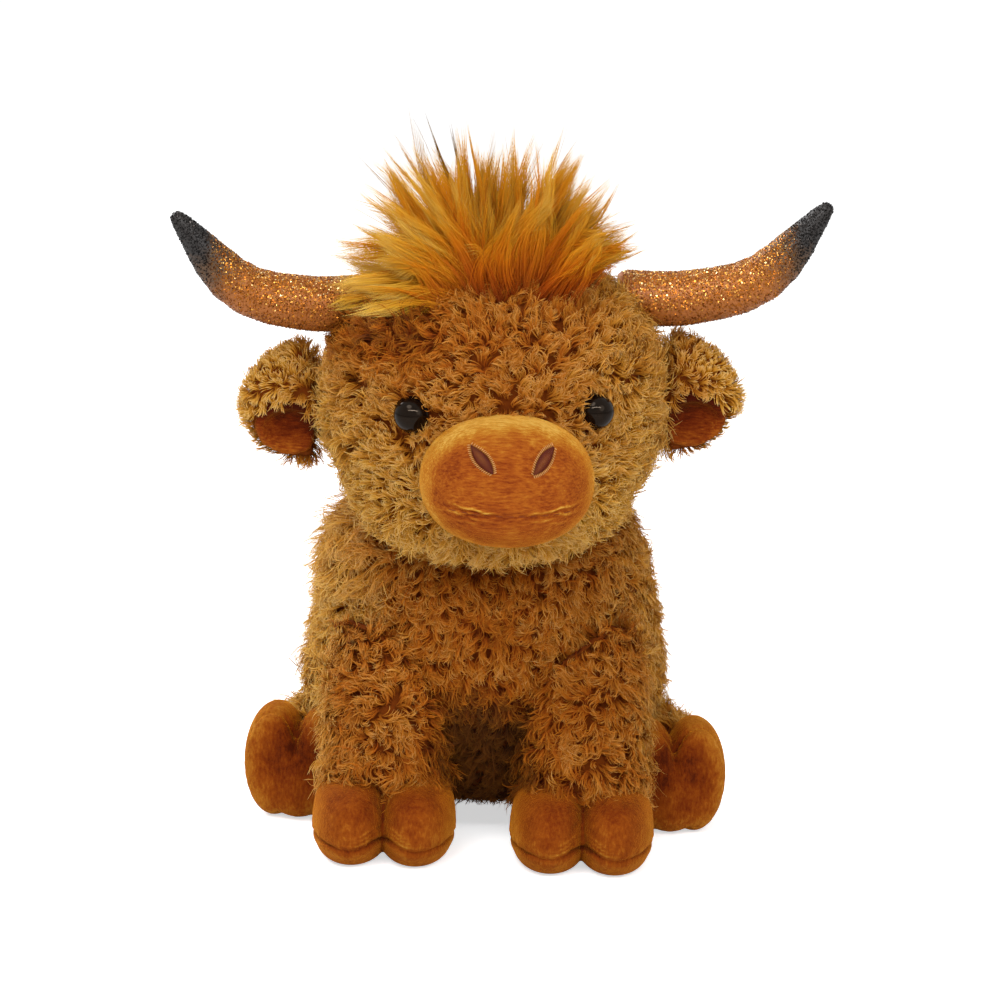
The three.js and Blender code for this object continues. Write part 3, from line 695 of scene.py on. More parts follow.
muzzleVelour = velour("muzzle velour", [(0.0, "#6c2a0a"), (0.25, "#8c4210"), (0.5, "#a05a18"), (0.75, "#b67e2a"),
                                        (1.0, "#d0a850")])
hoofVelour = velour("hoof velour", [(0.0, "#461402"), (0.22, "#6c2a04"), (0.48, "#86400a"), (0.75, "#a2621a"),
                                    (1.0, "#c08c3a")], napSize=(0.9, 0.9, 2.2), streak=0.85)
liningVelour = velour("ear lining velour", [(0.0, "#3c0e02"), (0.3, "#5c1e03"), (0.6, "#7c360a"), (1.0, "#a86018")],
                      sheen=0.5)


# Muzzle: a stuffed oval, fullest at its rim, with a stitched mouth and satin nostrils

muzzleSetup = {"half": (28.5, 22, 21.5), "centre": (0, -64, 24), "roll": 2.0, "outline": 2.15, "depthwise": 2.45,
               "rows": 130, "around": 300, "mouthHalf": 21.5, "mouthDrop": 6, "mouthSag": 1.5, "mouthDepth": 0.1,
               "lipHeight": 0.35, "wrinkleHeight": 0.5, "nostrilAt": (10, 10.5), "nostrilSize": (10.8, 3.9),
               "nostrilSlant": 50, "nostrilDepth": 0.9, "thread": 0.42, "mouthThread": 0.36}


# Height of the mouth's line, which sags in its middle
def mouthAt(x, setup=muzzleSetup):
    return -setup["mouthDrop"] - setup["mouthSag"] * (1 - (x / setup["mouthHalf"]) ** 2)


# Gathers where the mouth's thread is drawn tight at both its ends: ridges are above zero, folds below.
# Each has a height over the mouth, a slope, a length and a strength
wrinkles = [(1.5, 0.1, 6.5, 1.0), (0.1, -0.12, 7.5, 0.8), (-1.5, 0.08, 5.0, 0.6), (-3.1, -0.06, 4.0, 0.35)]


def wrinklesAt(x, z):
    height = np.zeros_like(x)
    for end in (-1, 1):
        for i, (lift, slope, length, strength) in enumerate(wrinkles):
            middle = end * (13.5 + 1.2 * math.sin(2.1 * i + end))
            line = mouthAt(x) + lift + slope * (np.abs(x) - 13) + 0.25 * np.sin(x * 0.9 + i)
            shape = gaussian(z - line, 0.5) - gaussian(z - line + 0.95, 0.5)
            height += strength * shape * gaussian(x - middle, length)
    return height


# Height of the muzzle's front over its middle plane, at distances across and up from its centre, in mm
def muzzleBulge(x, z, setup=muzzleSetup):
    wide, deep, high = setup["half"]
    reach = (np.abs(x / wide) ** setup["outline"] + np.abs(z / high) ** setup["outline"]) ** (1 / setup["outline"])
    bulge = deep * np.maximum(1 - reach ** setup["depthwise"], 0) ** (1 / setup["depthwise"])
    along = np.clip(1 - np.abs(x / setup["mouthHalf"]) ** 6, 0, 1)
    bulge -= setup["mouthDepth"] * gaussian(z - mouthAt(x), 0.9) * along
    bulge += setup["lipHeight"] * gaussian(z - mouthAt(x) - 2.2, 1.6) * along
    bulge += setup["wrinkleHeight"] * wrinklesAt(x, z)
    for side in (-1, 1):
        away = np.hypot(x - side * setup["nostrilAt"][0], z - setup["nostrilAt"][1])
        bulge -= setup["nostrilDepth"] * gaussian(away, 4.2)
    return bulge


muzzleMatrix = headMatrix @ shifted(*muzzleSetup["centre"]) @ rotated(muzzleSetup["roll"], "Y")


def onMuzzle(x, z, raised=0.0):
    y = -muzzleBulge(x, z) - raised
    return placed(np.stack([x, y, z], axis=-1) * mm, muzzleMatrix)


def makeMuzzle(setup=muzzleSetup):
    wide, deep, high = setup["half"]
    turn = circle(setup["around"])
    power = 2 / setup["outline"]
    ringX = np.sign(np.cos(turn)) * np.abs(np.cos(turn)) ** power * wide
    ringZ = np.sign(np.sin(turn)) * np.abs(np.sin(turn)) ** power * high
    front = np.linspace(0.02, 0.5, setup["rows"]) * math.pi
    shares = np.sin(front) ** (2 / setup["depthwise"])
    cap = onMuzzle(shares[:, None] * ringX, shares[:, None] * ringZ)
    # behind the rim it narrows towards the head
    back = []
    for t in np.linspace(0, 1, 12)[1:]:
        pinch = 1 - 0.35 * t ** 2
        back.append(placed(np.stack([ringX * pinch, np.full_like(ringX, deep * 0.75 * t), ringZ * pinch],
                                    axis=-1) * mm, muzzleMatrix))
    rings = np.concatenate([cap, np.array(back)])
    poles = np.array([onMuzzle(np.array(0.0), np.array(0.0)), back[-1].mean(axis=0)])
    mesh = closedRings("muzzle_cover", rings, poles)
    # painted light and shade on the velour: pale at the rim as painted sheen, in a wavy band at the top as painted
    # light from above, and as painted highlights on the wrinkles' ridges, a little darker in their folds as painted
    # shade
    x, y, z = (placed(np.vstack([rings.reshape(-1, 3), poles]), muzzleMatrix.inverted()) / mm).T
    topEdge = 11.5 + 1.5 * np.cos(x * 0.35)
    setToneAndPaintedLight(mesh, 0.06 + 0.42 * rise(np.hypot(x / wide, z / high) - 0.84, 0.14) + 0.2 * rise(z - topEdge, 6)
           + 0.6 * np.maximum(wrinklesAt(x, z), -0.15))
    muzzle = addPiece("muzzle_cover", mesh, muzzleVelour, "torso", ["muzzle"])


# A round thread along each line of points
def threads(name, lines, width, tones=None, sides=6):
    points, quads, caps = [], [], []
    base = 0
    for line in lines:
        rows = len(line)
        tangents = unit(np.gradient(line, axis=0))
        # any direction that no thread runs along
        side = unit(np.cross(tangents, np.array([0.31, 0.87, 0.38])))
        lift = np.cross(side, tangents)
        taper = np.ones(rows)
        taper[[0, -1]] = 0.5
        around = aroundLine(side, lift, circle(sides))
        points.append((line[:, None, :] + around * (width / 2 * taper)[:, None, None]).reshape(-1, 3))
        quads.append(base + tubeFaces(rows, sides))
        caps.append(base + np.arange(sides)[::-1])
        caps.append(base + (rows - 1) * sides + np.arange(sides))
        base += rows * sides
    mesh = meshOf(name, np.vstack(points), [np.vstack(quads), np.array(caps)])
    setToneAndPaintedLight(mesh, np.zeros(len(mesh.vertices)) if tones is None
           else np.concatenate([np.repeat(tone, sides) for tone in tones]))
    return mesh


# Rayon embroidery thread: tight, with a soft gloss along each stitch, in the tones that a point attribute chooses
# from; the palest is painted sheen
def rayonThread(name, stops):
    material, tree = newMaterial(name)
    place = addNode(tree, "TexCoord").outputs["Object"]
    chosen = addNode(tree, "Attribute", attribute_name="toneAndPaintedLight").outputs["Fac"]
    tone = addNode(tree, "ValToRGB", {"Fac": chosen}, stops)
    ply = addNode(tree, "TexNoise", {"Vector": place, "Scale": 1 / (1.2 * mm), "Detail": 2})
    shade = addNode(tree, "MapRange", {"Value": ply, "To Min": 0.7, "To Max": 1.3})
    colour = addNode(tree, "HueSaturation", {"Color": tone, "Value": shade})
    surface = addNode(tree, "BsdfPrincipled", {"Base Color": colour, "Roughness": 0.5, "IOR": 1.47,
                      "Specular IOR Level": 0.15})
    addNode(tree, "OutputMaterial", {"Surface": surface})
    return material


maroonThread = rayonThread("maroon rayon thread", [(0.0, "#4c140a"), (0.5, "#6e3a18"), (1.0, "#c08c50")])
rustThread = rayonThread("rust rayon thread", [(0.0, "#70300a"), (1.0, "#8a4612")])


# A leaf of satin stitches, with the velour's pile standing up round it in short tips, made pale as painted sheen
def makeNostril(name, side, setup=muzzleSetup):
    long, wide = setup["nostrilSize"]
    middleX, middleZ = setup["nostrilAt"]
    slant = math.radians(setup["nostrilSlant"]) * side
    lines, tones = [], []

    def addLine(along, across, raised, tone):
        lean = along + across * 0.25
        x = middleX * side + lean * math.cos(slant) - across * math.sin(slant)
        z = middleZ + lean * math.sin(slant) + across * math.cos(slant)
        lines.append(onMuzzle(x, z, raised))
        tones.append(tone)

    for t in np.arange(-long / 2 + 0.3, long / 2 - 0.2, setup["thread"] * 0.8):
        reach = wide / 2 * (1 - (2 * t / long) ** 2)
        across = np.linspace(-reach, reach, 9)
        dome = 0.1 + 0.45 * np.clip(1 - (across / max(reach, 0.2)) ** 2, 0, 1)
        addLine(t, across, dome, 0.5 * gaussian(across, 0.9) * gaussian(t + 0.8, 3.6))
    for t in np.arange(-long / 2, long / 2 + 0.1, 0.55):
        for edge in (-1, 1):
            across = edge * (wide / 2 * (1 - (2 * t / long) ** 2) + np.array([0.0, 0.45, 1.0]))
            addLine(t * np.array([1, 1.03, 1.06]), across, np.array([0.3, 0.3, 0.05]), np.array([0.7, 1.0, 1.0]))
    mesh = threads(name, lines, setup["thread"] * mm, tones)
    addPiece(name, mesh, maroonThread, "torso", [name])


def makeMouth(setup=muzzleSetup):
    lines = []
    stitch, gap, rows = 3.2, 0.5, 8
    for start in np.arange(-setup["mouthHalf"] + 1, setup["mouthHalf"] - 1.5, stitch + gap):
        x = np.linspace(start, start + stitch, rows)
        # each stitch comes out of the velour and goes in again
        raised = -0.3 + 0.3 * np.sin(np.linspace(0, math.pi, rows))
        lines.append(onMuzzle(x, mouthAt(x), raised))
    mesh = threads("mouth_stitch", lines, setup["mouthThread"] * mm)
    addPiece("mouth_stitch", mesh, rustThread, "torso", ["mouth_stitch"])


makeMuzzle()
makeNostril("nostril_left", 1)
makeNostril("nostril_right", -1)
makeMouth()
print("muzzle made")


# Safety eyes, each a dome with a thin rim and a stem

# Moulded ABS with a polished face, which mirrors the lamps as small hard lights
def polishedBlack():
    material, tree = newMaterial("polished black plastic")
    place = addNode(tree, "TexCoord").outputs["Object"]
    wear = addNode(tree, "TexNoise", {"Vector": place, "Scale": 1 / (2 * mm), "Detail": 4})
    rough = addNode(tree, "MapRange", {"Value": wear, "To Min": 0.04, "To Max": 0.12})
    tone = addNode(tree, "ValToRGB", {"Fac": wear}, [(0.3, "#070403"), (0.8, "#140b07")])
    surface = addNode(tree, "BsdfPrincipled", {"Base Color": tone, "IOR": 1.49, "Roughness": rough,
                      "Specular IOR Level": 0.16, "Specular Tint": linear("#ffe4c8")})
    addNode(tree, "OutputMaterial", {"Surface": surface})
    return material


def makeEye(name, side, material, setup=eyeSetup):
    matrix = eyeMatrix(side)
    profile = [(setup["radius"] * math.sin(t), -setup["dome"] * math.cos(t) ** 0.9)
               for t in np.linspace(0.06, math.pi / 2, 22)]
    profile += [(setup["radius"] + setup["rim"], 0.15), (setup["radius"] + setup["rim"], 0.7),
                (setup["radius"] - 0.8, 1.1), (1.7, 1.2), (1.6, 9.5)]
    turn = circle(48)
    rings = np.array([[(r * math.cos(a), d + setup["sink"], r * math.sin(a)) for a in turn] for r, d in profile])
    poles = np.array([(0, -setup["dome"] + setup["sink"], 0), (0, 9.7 + setup["sink"], 0)])
    mesh = closedRings(name, placed(rings * mm, matrix), placed(poles * mm, matrix))
    addPiece(name, mesh, material, "torso", [name])


blackPlastic = polishedBlack()
makeEye("eye_left", 1, blackPlastic)
makeEye("eye_right", -1, blackPlastic)
print("eyes made")


# Hooves: stuffed velour in two toes, with a sole panel let in along a puckered seam

frontHoof = {"size": (49, 51, 27), "overlap": 1.12, "seamAt": 8.5, "seamDepth": 1.1, "pucker": 0.26,
             "voxel": 0.65 * mm, "smoothing": 9}
hindHoof = dict(frontHoof, size=(39, 41, 25), seamAt=4.0, pucker=0.06)
toeProfile = [(0.0, 0.0), (0.42, 0.0), (0.66, 0.03), (0.86, 0.14), (0.98, 0.36), (0.98, 0.56), (0.88, 0.8),
              (0.58, 0.96), (0.0, 1.0)]


def hoofMesh(name, setup, matrix, hinder):
    wide, long, high = setup["size"]
    toeWide = wide * setup["overlap"] / 2
    turn = circle(72)
    radius, height = lineThrough(toeProfile, 40)[1:-1].T[:, :, None]
    work = bmesh.new()
    # two toes, which a heel joins on the hind foot: the middle and half the width and length of each
    lobes = [(side * (wide - toeWide) / 2, 0, toeWide / 2, long / 2) for side in (-1, 1)]
    if hinder:
        lobes.append((0, long * 0.17, wide * 0.34, long * 0.33))
    for middleX, middleY, halfX, halfY in lobes:
        x = middleX + np.cos(turn) * halfX * radius
        y = middleY + np.sin(turn) * halfY * radius
        z = np.broadcast_to(-0.5 + (high + 0.5) * height, x.shape)
        poles = np.array([(middleX, middleY, -0.5), (middleX, middleY, high)])
        toe = closedRings("toe", np.stack([x, y, z], axis=-1) * mm, poles * mm)
        work.from_mesh(toe)
        bpy.data.meshes.remove(toe)
    mesh = remeshed(name, meshFrom(work, name), setup["voxel"], setup["smoothing"])
    points, normals = pointsAndNormals(mesh)
    x, y, z = (points / mm).T
    inner = (wide - toeWide) / 2
    fromToe = np.abs(x) - inner
    depth = np.zeros(len(points))
    frontness = rise(-y, long / 2)
    seamZ = setup["seamAt"] + 1.6 * gaussian(fromToe + toeWide * 0.32, 3.5) - 1.2 * gaussian(fromToe, 6)
    if hinder:
        # the sole is the face turned to the front, hollow in the middle of each toe
        depth -= 1.4 * (gaussian(np.hypot(fromToe / 7.0, y / 13.0), 1.0) * np.clip(1 - z / 6, 0, 1))
        seamZ = np.full_like(z, setup["seamAt"])
    # drawn tightest beside the cleft and at the outer ends
    tight = 0.4 + 0.6 * np.clip(np.abs(fromToe) / toeWide * 3.2 - 0.5, 0, 1)
    depth -= setup["seamDepth"] * tight * gaussian(z - seamZ, 0.7)
    depth += 0.3 * gaussian(z - seamZ + 2.0, 1.3)
    pucker = np.sin(np.arctan2(y, fromToe) * 17 + 2 * np.sin(x * 0.7)) * gaussian(z - seamZ - 1.4, 1.8) * tight
    depth += setup["pucker"] * pucker
    # short gathers beside the cleft, over the seam
    gathers = np.zeros(len(points))
    for i in range(3):
        beside = gaussian(fromToe + 4.5 + i, 4.0) * frontness * (1 - 0.2 * i)
        gathers += (gaussian(z - seamZ - 1.5 * i - 1.9, 0.6) - gaussian(z - seamZ - 1.5 * i - 1.1, 0.5)) * beside
    depth += 0.4 * gathers
    points += normals * (depth * mm)[:, None]
    points = placed(points, matrix)
    points[:, 2] = np.maximum(points[:, 2], 0)
    movePoints(mesh, points)
    # painted light and shade on the velour: pale at the outer edge as painted sheen, paler under the seam, painted
    # highlights on the puckers and gathers, and painted shade in the cleft, along the seam and at the top under the
    # leg's pile
    edge = rise(np.abs(fromToe) / (toeWide / 2) - 0.6, 0.4) * (np.abs(x) > inner)
    toneAndPaintedLight = (0.21 + 0.26 * edge + 0.14 * rise(seamZ - z, 3) + 0.2 * np.maximum(pucker, 0)
           + 0.55 * np.maximum(gathers, 0) - 0.3 * gaussian(x, 3.5) - 0.12 * rise(z - high * 0.6, 8)
           - 0.4 * tight * gaussian(z - seamZ, 0.6))
    if hinder:
        # a hind sole has a pale rim as painted sheen, a painted shadow in each toe's hollow and painted shade down
        # the cleft
        rim = rise(np.hypot(x / wide, y / long) * 2 - 0.62, 0.34)
        shadow = gaussian(np.hypot((fromToe + 4) / 6, (y + 5) / 10), 1.0)
        toneAndPaintedLight = 0.2 + 0.3 * rim - 0.3 * shadow - 0.15 * gaussian(x, 3) * rise(-y, 6)
    setToneAndPaintedLight(mesh, toneAndPaintedLight)
    return mesh, z, seamZ


# Two closed pieces from a foot: what lies above its seam and what lies below it
def splitFoot(mesh, heights, seam, upperName, lowerName):
    made = []
    corners = np.array([tuple(p.vertices) if len(p.vertices) == 4 else tuple(p.vertices) + (p.vertices[0],)
                        for p in mesh.polygons])
    above = (heights - seam)[corners].mean(axis=1) > 0
    for name, chosen in ((upperName, above), (lowerName, ~above)):
        work = bmesh.new()
        work.from_mesh(mesh)
        work.faces.ensure_lookup_table()
        bmesh.ops.delete(work, geom=[f for f, k in zip(work.faces[:], chosen) if not k], context="FACES")
        rim = [e for e in work.edges if e.is_boundary]
        bmesh.ops.holes_fill(work, edges=rim, sides=0)
        bmesh.ops.recalc_face_normals(work, faces=work.faces)
        part = meshFrom(work, name)
        # only the flat face that closes the part has many corners
        part.polygons.foreach_set("use_smooth", [len(p.vertices) < 6 for p in part.polygons])
        made.append(part)
    bpy.data.meshes.remove(mesh)
    return made


def makeFoot(limb, side, setup, matrix):
    names = f"{limb}_hoof_{side}", f"{limb}_sole_{side}"
    mesh, heights, seam = hoofMesh("foot", setup, matrix, limb == "hind")
    for name, part in zip(names, splitFoot(mesh, heights, seam, *names)):
        foot = addPiece(name, part, hoofVelour, f"{limb}_leg_{side}", [name])


# from the frame's origin to the point that the feet are placed from
shiftY = -34.15
for side, sign in (("left", 1), ("right", -1)):
    makeFoot("front", side, frontHoof, shifted(sign * 33.5, -47 - sign * 2 + shiftY, 0))
    makeFoot("hind", side, hindHoof, shifted(sign * 66, -18 - sign * 3 + shiftY, 20)
             @ rotated(sign * 8, "Z") @ rotated(-90, "X"))
print("hooves made")


# Horns: glitter cloth sewn into tapering tubes, copper with charcoal tips

hornSetup = {"diameter": 18.6, "root": (40, -7, 74), "tip": (109, -29, 108), "shift": 2.6,
             "bends": [(0.36, 0.25, 0.02), (0.7, 0.6, 0.26)], "rows": 120, "around": 48,
             "profile": [(0.0, 0.0), (0.9, 0.01), (1.0, 0.12), (0.95, 0.42), (0.78, 0.7), (0.44, 0.9), (0.22, 0.985),
                         (0.0, 1.0)],
             "creaseDepth": 0.22, "seamDepth": 0.5, "charcoal": (0.64, 0.8), "flakeGap": 0.62, "flakeSize": 0.62,
             "flakeTilt": 0.42, "flakeLift": 0.12}


# Glitter cloth: a knit coated with copper film, charcoal towards the tip
def glitterCloth():
    material, tree = newMaterial("copper glitter cloth")
    split = addNode(tree, "SeparateXYZ", {"Vector": addNode(tree, "UVMap", uv_map="OFBake")})
    place = addNode(tree, "TexCoord").outputs["Object"]
    mottle = addNode(tree, "TexNoise", {"Vector": place, "Scale": 1 / (3 * mm), "Detail": 5})
    offset = addNode(tree, "Math", {0: mottle, 1: 0.16, 2: -0.08}, operation="MULTIPLY_ADD")
    along = addNode(tree, "Math", {0: split.outputs["Y"], 1: offset}, operation="ADD")
    tone = addNode(tree, "ValToRGB", {"Fac": along},
                   [(0.0, "#985416"), (0.6, "#9a5818"), (0.74, "#54391e"), (0.84, "#221e1c")])
    surface = addNode(tree, "BsdfPrincipled", {"Base Color": tone, "Metallic": 0.25, "Roughness": 0.5})
    addNode(tree, "OutputMaterial", {"Surface": surface})
    return material


# Glitter: flakes of metallised film, each a small mirror at its own angle
def glitterFlakes():
    material, tree = newMaterial("copper glitter flakes")
    split = addNode(tree, "SeparateXYZ", {"Vector": addNode(tree, "UVMap", uv_map="OFBake")})
    copper = addNode(tree, "ValToRGB", {"Fac": split.outputs["X"]},
                     [(0.0, "#763a08"), (0.55, "#ac661c"), (0.85, "#d29a44"), (1.0, "#ffe2a4")])
    charcoal = addNode(tree, "ValToRGB", {"Fac": split.outputs["X"]},
                       [(0.0, "#100e0d"), (0.7, "#221f1e"), (1.0, "#4a4542")])
    copperTo, charcoalFrom = hornSetup["charcoal"]
    fade = addNode(tree, "MapRange", {"Value": split.outputs["Y"], "From Min": copperTo, "From Max": charcoalFrom},
                   interpolation_type="SMOOTHSTEP")
    colour = addNode(tree, "Mix", {0: fade, 6: copper, 7: charcoal}, data_type="RGBA")
    surface = addNode(tree, "BsdfPrincipled", {"Base Color": colour.outputs[2], "Metallic": 0.9, "Roughness": 0.34})
    addNode(tree, "OutputMaterial", {"Surface": surface})
    return material


# Flakes lie over the cloth, each tilted its own way, fewer of them underneath
def addFlakes(name, mesh, line, film, rng, setup):
    roots, facing = scatter(mesh, setup["flakeGap"] * mm, rng)
    local = placed(roots, headMatrix.inverted()) / mm
    nearest = np.abs(local[:, None, 0] - line[None, :, 0]).argmin(axis=1)
    share = np.linspace(0, 1, len(line))[nearest]
    shown = (share > 0.02) & (rng.random(len(share)) < np.where(facing[:, 2] < -0.25, 0.5, 1))
    roots, facing, share = roots[shown], facing[shown], share[shown]
    count, sides = len(roots), 6
    tilted = unit(facing + rng.normal(0, setup["flakeTilt"], (count, 3)))
    first = unit(np.cross(tilted, rng.normal(0, 1, (count, 3))))
    second = np.cross(tilted, first)
    size = setup["flakeSize"] * mm * rng.uniform(0.6, 1.15, count)[:, None, None] / 2
    turn = circle(sides)
    points = (roots + facing * setup["flakeLift"] * mm)[:, None, :] + size * aroundLine(first, second, turn)
    faces = np.arange(count * sides).reshape(count, sides)
    flakes = meshOf(f"{name}_glitter", points.reshape(-1, 3), [faces], smooth=False)
    # flakes that face up are paler, painted light from above
    shade = np.clip(rng.beta(1.6, 2.2, count) + 0.22 * facing[:, 2], 0.01, 0.99)
    setUv(flakes, np.repeat(np.stack([shade, share], axis=-1), sides, axis=0))
    addPiece(f"{name}_glitter", flakes, film, "torso")


def makeHorn(name, side, cloth, film, seed, setup=hornSetup):
    root, tip = np.array(setup["root"], float), np.array(setup["tip"], float)
    stations = [root] + [root + (tip - root) * np.array(bend) for bend in setup["bends"]] + [tip]
    stations = np.array(stations) * [side, 1, 1] + [setup["shift"], 0, 0]
    line = lineThrough(stations, setup["rows"])
    radii = lineThrough(setup["profile"], 400)
    along = np.linspace(0, 1, setup["rows"])
    radius = np.interp(along, radii[:, 1], radii[:, 0]) * setup["diameter"] / 2
    tangents = unit(np.gradient(line, axis=0))
    sideways = unit(np.cross(tangents, [0, 1, 0]))
    level = np.cross(sideways, tangents)
    turn = circle(setup["around"])
    # soft creases across the inside of the bend, and the seam along the underside
    crease = setup["creaseDepth"] * np.sin(along * 60)[:, None] * gaussian(along - 0.62, 0.16)[:, None]
    crease = crease * np.cos(turn)[None, :]
    under = np.cos(turn - (math.pi if side > 0 else 0))
    seam = -setup["seamDepth"] * np.exp(-((1 - under) / 0.02))[None, :]
    reach = radius[:, None] + crease * (radius / (setup["diameter"] / 2))[:, None] + seam * rise(radius, 4)[:, None]
    rings = (line[:, None, :] + aroundLine(sideways, level, turn) * reach[:, :, None])[1:-1]
    mesh = closedRings(name, placed(rings * mm, headMatrix), placed(line[[0, -1]] * mm, headMatrix))
    mesh.flip_normals()
    corners = cornersOf(mesh)
    v = np.concatenate([np.repeat(along[1:-1], setup["around"]), [0.0, 1.0]])
    u = np.concatenate([np.tile(turn / (2 * math.pi), setup["rows"] - 2), [0.5, 0.5]])
    uv = np.stack([u[corners], v[corners]], axis=-1)
    # the faces that close the ring end beyond 1, not back at 0
    sizes = np.array([p.loop_total for p in mesh.polygons])
    starts = np.concatenate([[0], np.cumsum(sizes)[:-1]])
    ends = np.repeat(np.maximum.reduceat(uv[:, 0], starts) > 0.9, sizes)
    uv[ends & (uv[:, 0] < 0.1), 0] += 1
    uv[:, 0] *= 0.95
    setUv(mesh, uv)
    horn = addPiece(name, mesh, cloth, "torso", [name])
    addFlakes(name, mesh, line, film, np.random.default_rng(seed), setup)


hornCloth, hornFilm = glitterCloth(), glitterFlakes()
makeHorn("horn_left", 1, hornCloth, hornFilm, 41)
makeHorn("horn_right", -1, hornCloth, hornFilm, 42)
print("horns made")


# Hair: long straight pile sewn to the crown, which fans out and gathers into pointed wisps.
# Each reach is an angle from upright, in degrees, and the hair's length that way

hairSetup = {"centre": (0, -31, 77), "patch": (25, 11), "wisps": 58, "perWisp": 14, "strands": 28, "rows": 9,
             "width": 0.2 * mm, "spread": (-97, 74), "lockSpread": 3.4, "strandSpread": 1.7, "tipSpread": 1.0,
             "scale": 1.0, "golden": 0.0,
             "reaches": [(-97, 67), (-80, 62), (-70, 64), (-50, 67), (-23, 70), (-10, 66), (0, 61), (10, 65),
                         (19, 72), (28, 65), (41, 65), (50, 60), (60, 61), (70, 57), (76, 49)]}
# thin dark wisps that stand out of it
wispSetup = dict(hairSetup, wisps=34, perWisp=3, strands=14, lockSpread=1.0, strandSpread=0.5, tipSpread=0.3,
                 scale=1.07, golden=-0.3)

hairMaterial = pileMaterial("long straight pile", (0, 0.22, 0.5, 0.78, 1),
                            "#3c1402 #6a2c02 #7a4204 #6e480c #5a4416",
                            "#742402 #aa4a02 #c46a03 #ca860e #c89a34",
                            "#803c04 #b86c0c #d29018 #deb038 #e4c66c")


def growHair(name, setup, seed):
    rng = np.random.default_rng(seed)
    patchX, patchY = setup["patch"]
    wisps, rows = setup["wisps"], setup["rows"]
    leftmost, rightmost = setup["spread"]
    angles, reaches = np.array(setup["reaches"], float).T
    # a wisp's place in the fan sets where on the patch it grows; the front ones are shorter
    angle = leftmost + (rightmost - leftmost) * (np.arange(wisps) + rng.uniform(0.2, 0.8, wisps)) / wisps
    deep = rng.permutation(np.linspace(-1, 1, wisps))
    rootX = np.sin(np.radians(angle * 0.9)) * patchX * rng.uniform(0.3, 1, wisps)
    root = np.stack([rootX, deep * patchY, 1.5 + 5 * np.cos(np.radians(angle)) - 3 * np.abs(deep)], axis=-1)
    share = np.where(deep > -0.2, rng.uniform(0.9, 1.0, wisps), rng.uniform(0.66, 0.92, wisps))
    reach = setup["scale"] * np.interp(angle, angles, reaches) * share
    tilt = np.radians(3 + 15 * deep + rng.normal(0, 3, wisps))
    fan = np.radians(angle)
    aim = np.stack([np.sin(fan) * np.cos(tilt * 0.6), np.sin(tilt), np.cos(fan) * np.cos(tilt)], axis=-1)
    tip = unit(aim) * reach[:, None]
    sweep = rng.normal(0, 2.2, (wisps, 3))
    owner = np.repeat(np.arange(wisps), setup["perWisp"])
    locks = len(owner)
    lockRoot = root[owner] + rng.normal(0, setup["lockSpread"], (locks, 3)) * [1, 0.8, 0.4]
    # the locks at a wisp's sides stop short of its point
    outside = np.linalg.norm(lockRoot - root[owner], axis=1) / 6
    share = (rng.uniform(0.72, 1.0, locks) - 0.2 * outside).clip(0.4, 1)[:, None]
    lockTip = lockRoot + (tip[owner] + rng.normal(0, setup["tipSpread"], (locks, 3)) - lockRoot) * share
    hair = np.repeat(np.arange(locks), setup["strands"])
    count = len(hair)
    along = np.linspace(0, 1, rows)[None, :, None]
    stray = (rng.random(count) < 0.03)[:, None]
    start = lockRoot[hair] + rng.normal(0, setup["strandSpread"], (count, 3)) * [1, 1, 0.35]
    end = lockRoot[hair] + (lockTip[hair] - lockRoot[hair]) * rng.normal(0.95, 0.08, count).clip(0.5, 1.05)[:, None]
    end += rng.normal(0, 0.55 * setup["tipSpread"], (count, 3)) + stray * rng.normal(0, 3.2, (count, 3))
    # a lock rises from the patch before it lies over to its side
    lying = np.abs(np.sin(fan))[owner][hair][:, None, None]
    lines = start[:, None, :] * (1 - along) + end[:, None, :] * along
    lines[:, :, 2:] += lying * np.sin(math.pi * along) * (1 - 0.5 * along) * 6.0
    lines += (sweep[owner] + rng.normal(0, 0.8, (locks, 3)))[hair][:, None, :] * np.sin(math.pi * along)
    lines += rng.normal(0, 0.6, (locks, 3))[hair][:, None, :] * np.sin(2 * math.pi * along)
    facing = unit(end * [0.4, 0.2, 0.4] / 50 + [0, -0.8, 0.25] + rng.normal(0, 0.35, (count, 3)))
    outward = np.repeat(facing[:, None, :], rows, axis=1)
    lines = placed((lines + np.array(setup["centre"])) * mm, headMatrix)
    taper = 1 - np.linspace(0, 1, rows) ** 2.6 * 0.85
    taper[-1] = 0
    widths = setup["width"] * rng.normal(1, 0.2, count).clip(0.5, 1.5)[:, None] * taper[None, :]
    golden = np.interp(angle, [-97, -70, -20, 20, 76], [0.95, 0.7, 0.2, 0.2, 0.3]) + setup["golden"]
    shades = (golden + 0.14 * rng.normal(0, 1, wisps))[owner][hair] + 0.09 * rng.normal(0, 1, locks)[hair]
    shades = toneFrom(shades + 0.06 * rng.normal(0, 1, count) - 0.3 * stray[:, 0])
    print(f"{name}: {count} strands")
    return lines, outward, widths, shades, rng


for name, setup, seed, replaced in (("hair_tuft", hairSetup, 51, ["hair_tuft"]), ("hair_wisps", wispSetup, 52, ())):
    addFur(name, growHair(name, setup, seed), "torso", hairMaterial, replaced, roundness=0.35)
print("hair made")


# Ears: drooping cups of short gold-tipped pile, lined with velour

earSetup = dict(furSetup, length=7 * mm, lockGap=1.8 * mm, lean=(24, 92), bend=(20, 130), frizz=0.3,
                swirls=[(6 * mm, 1.3)])
earSkin = {"voxel": 1.2 * mm, "smoothing": 3, "inset": 0.2 * mm}
liningSkin = {"voxel": 0.9 * mm, "smoothing": 3, "inset": -0.5 * mm}


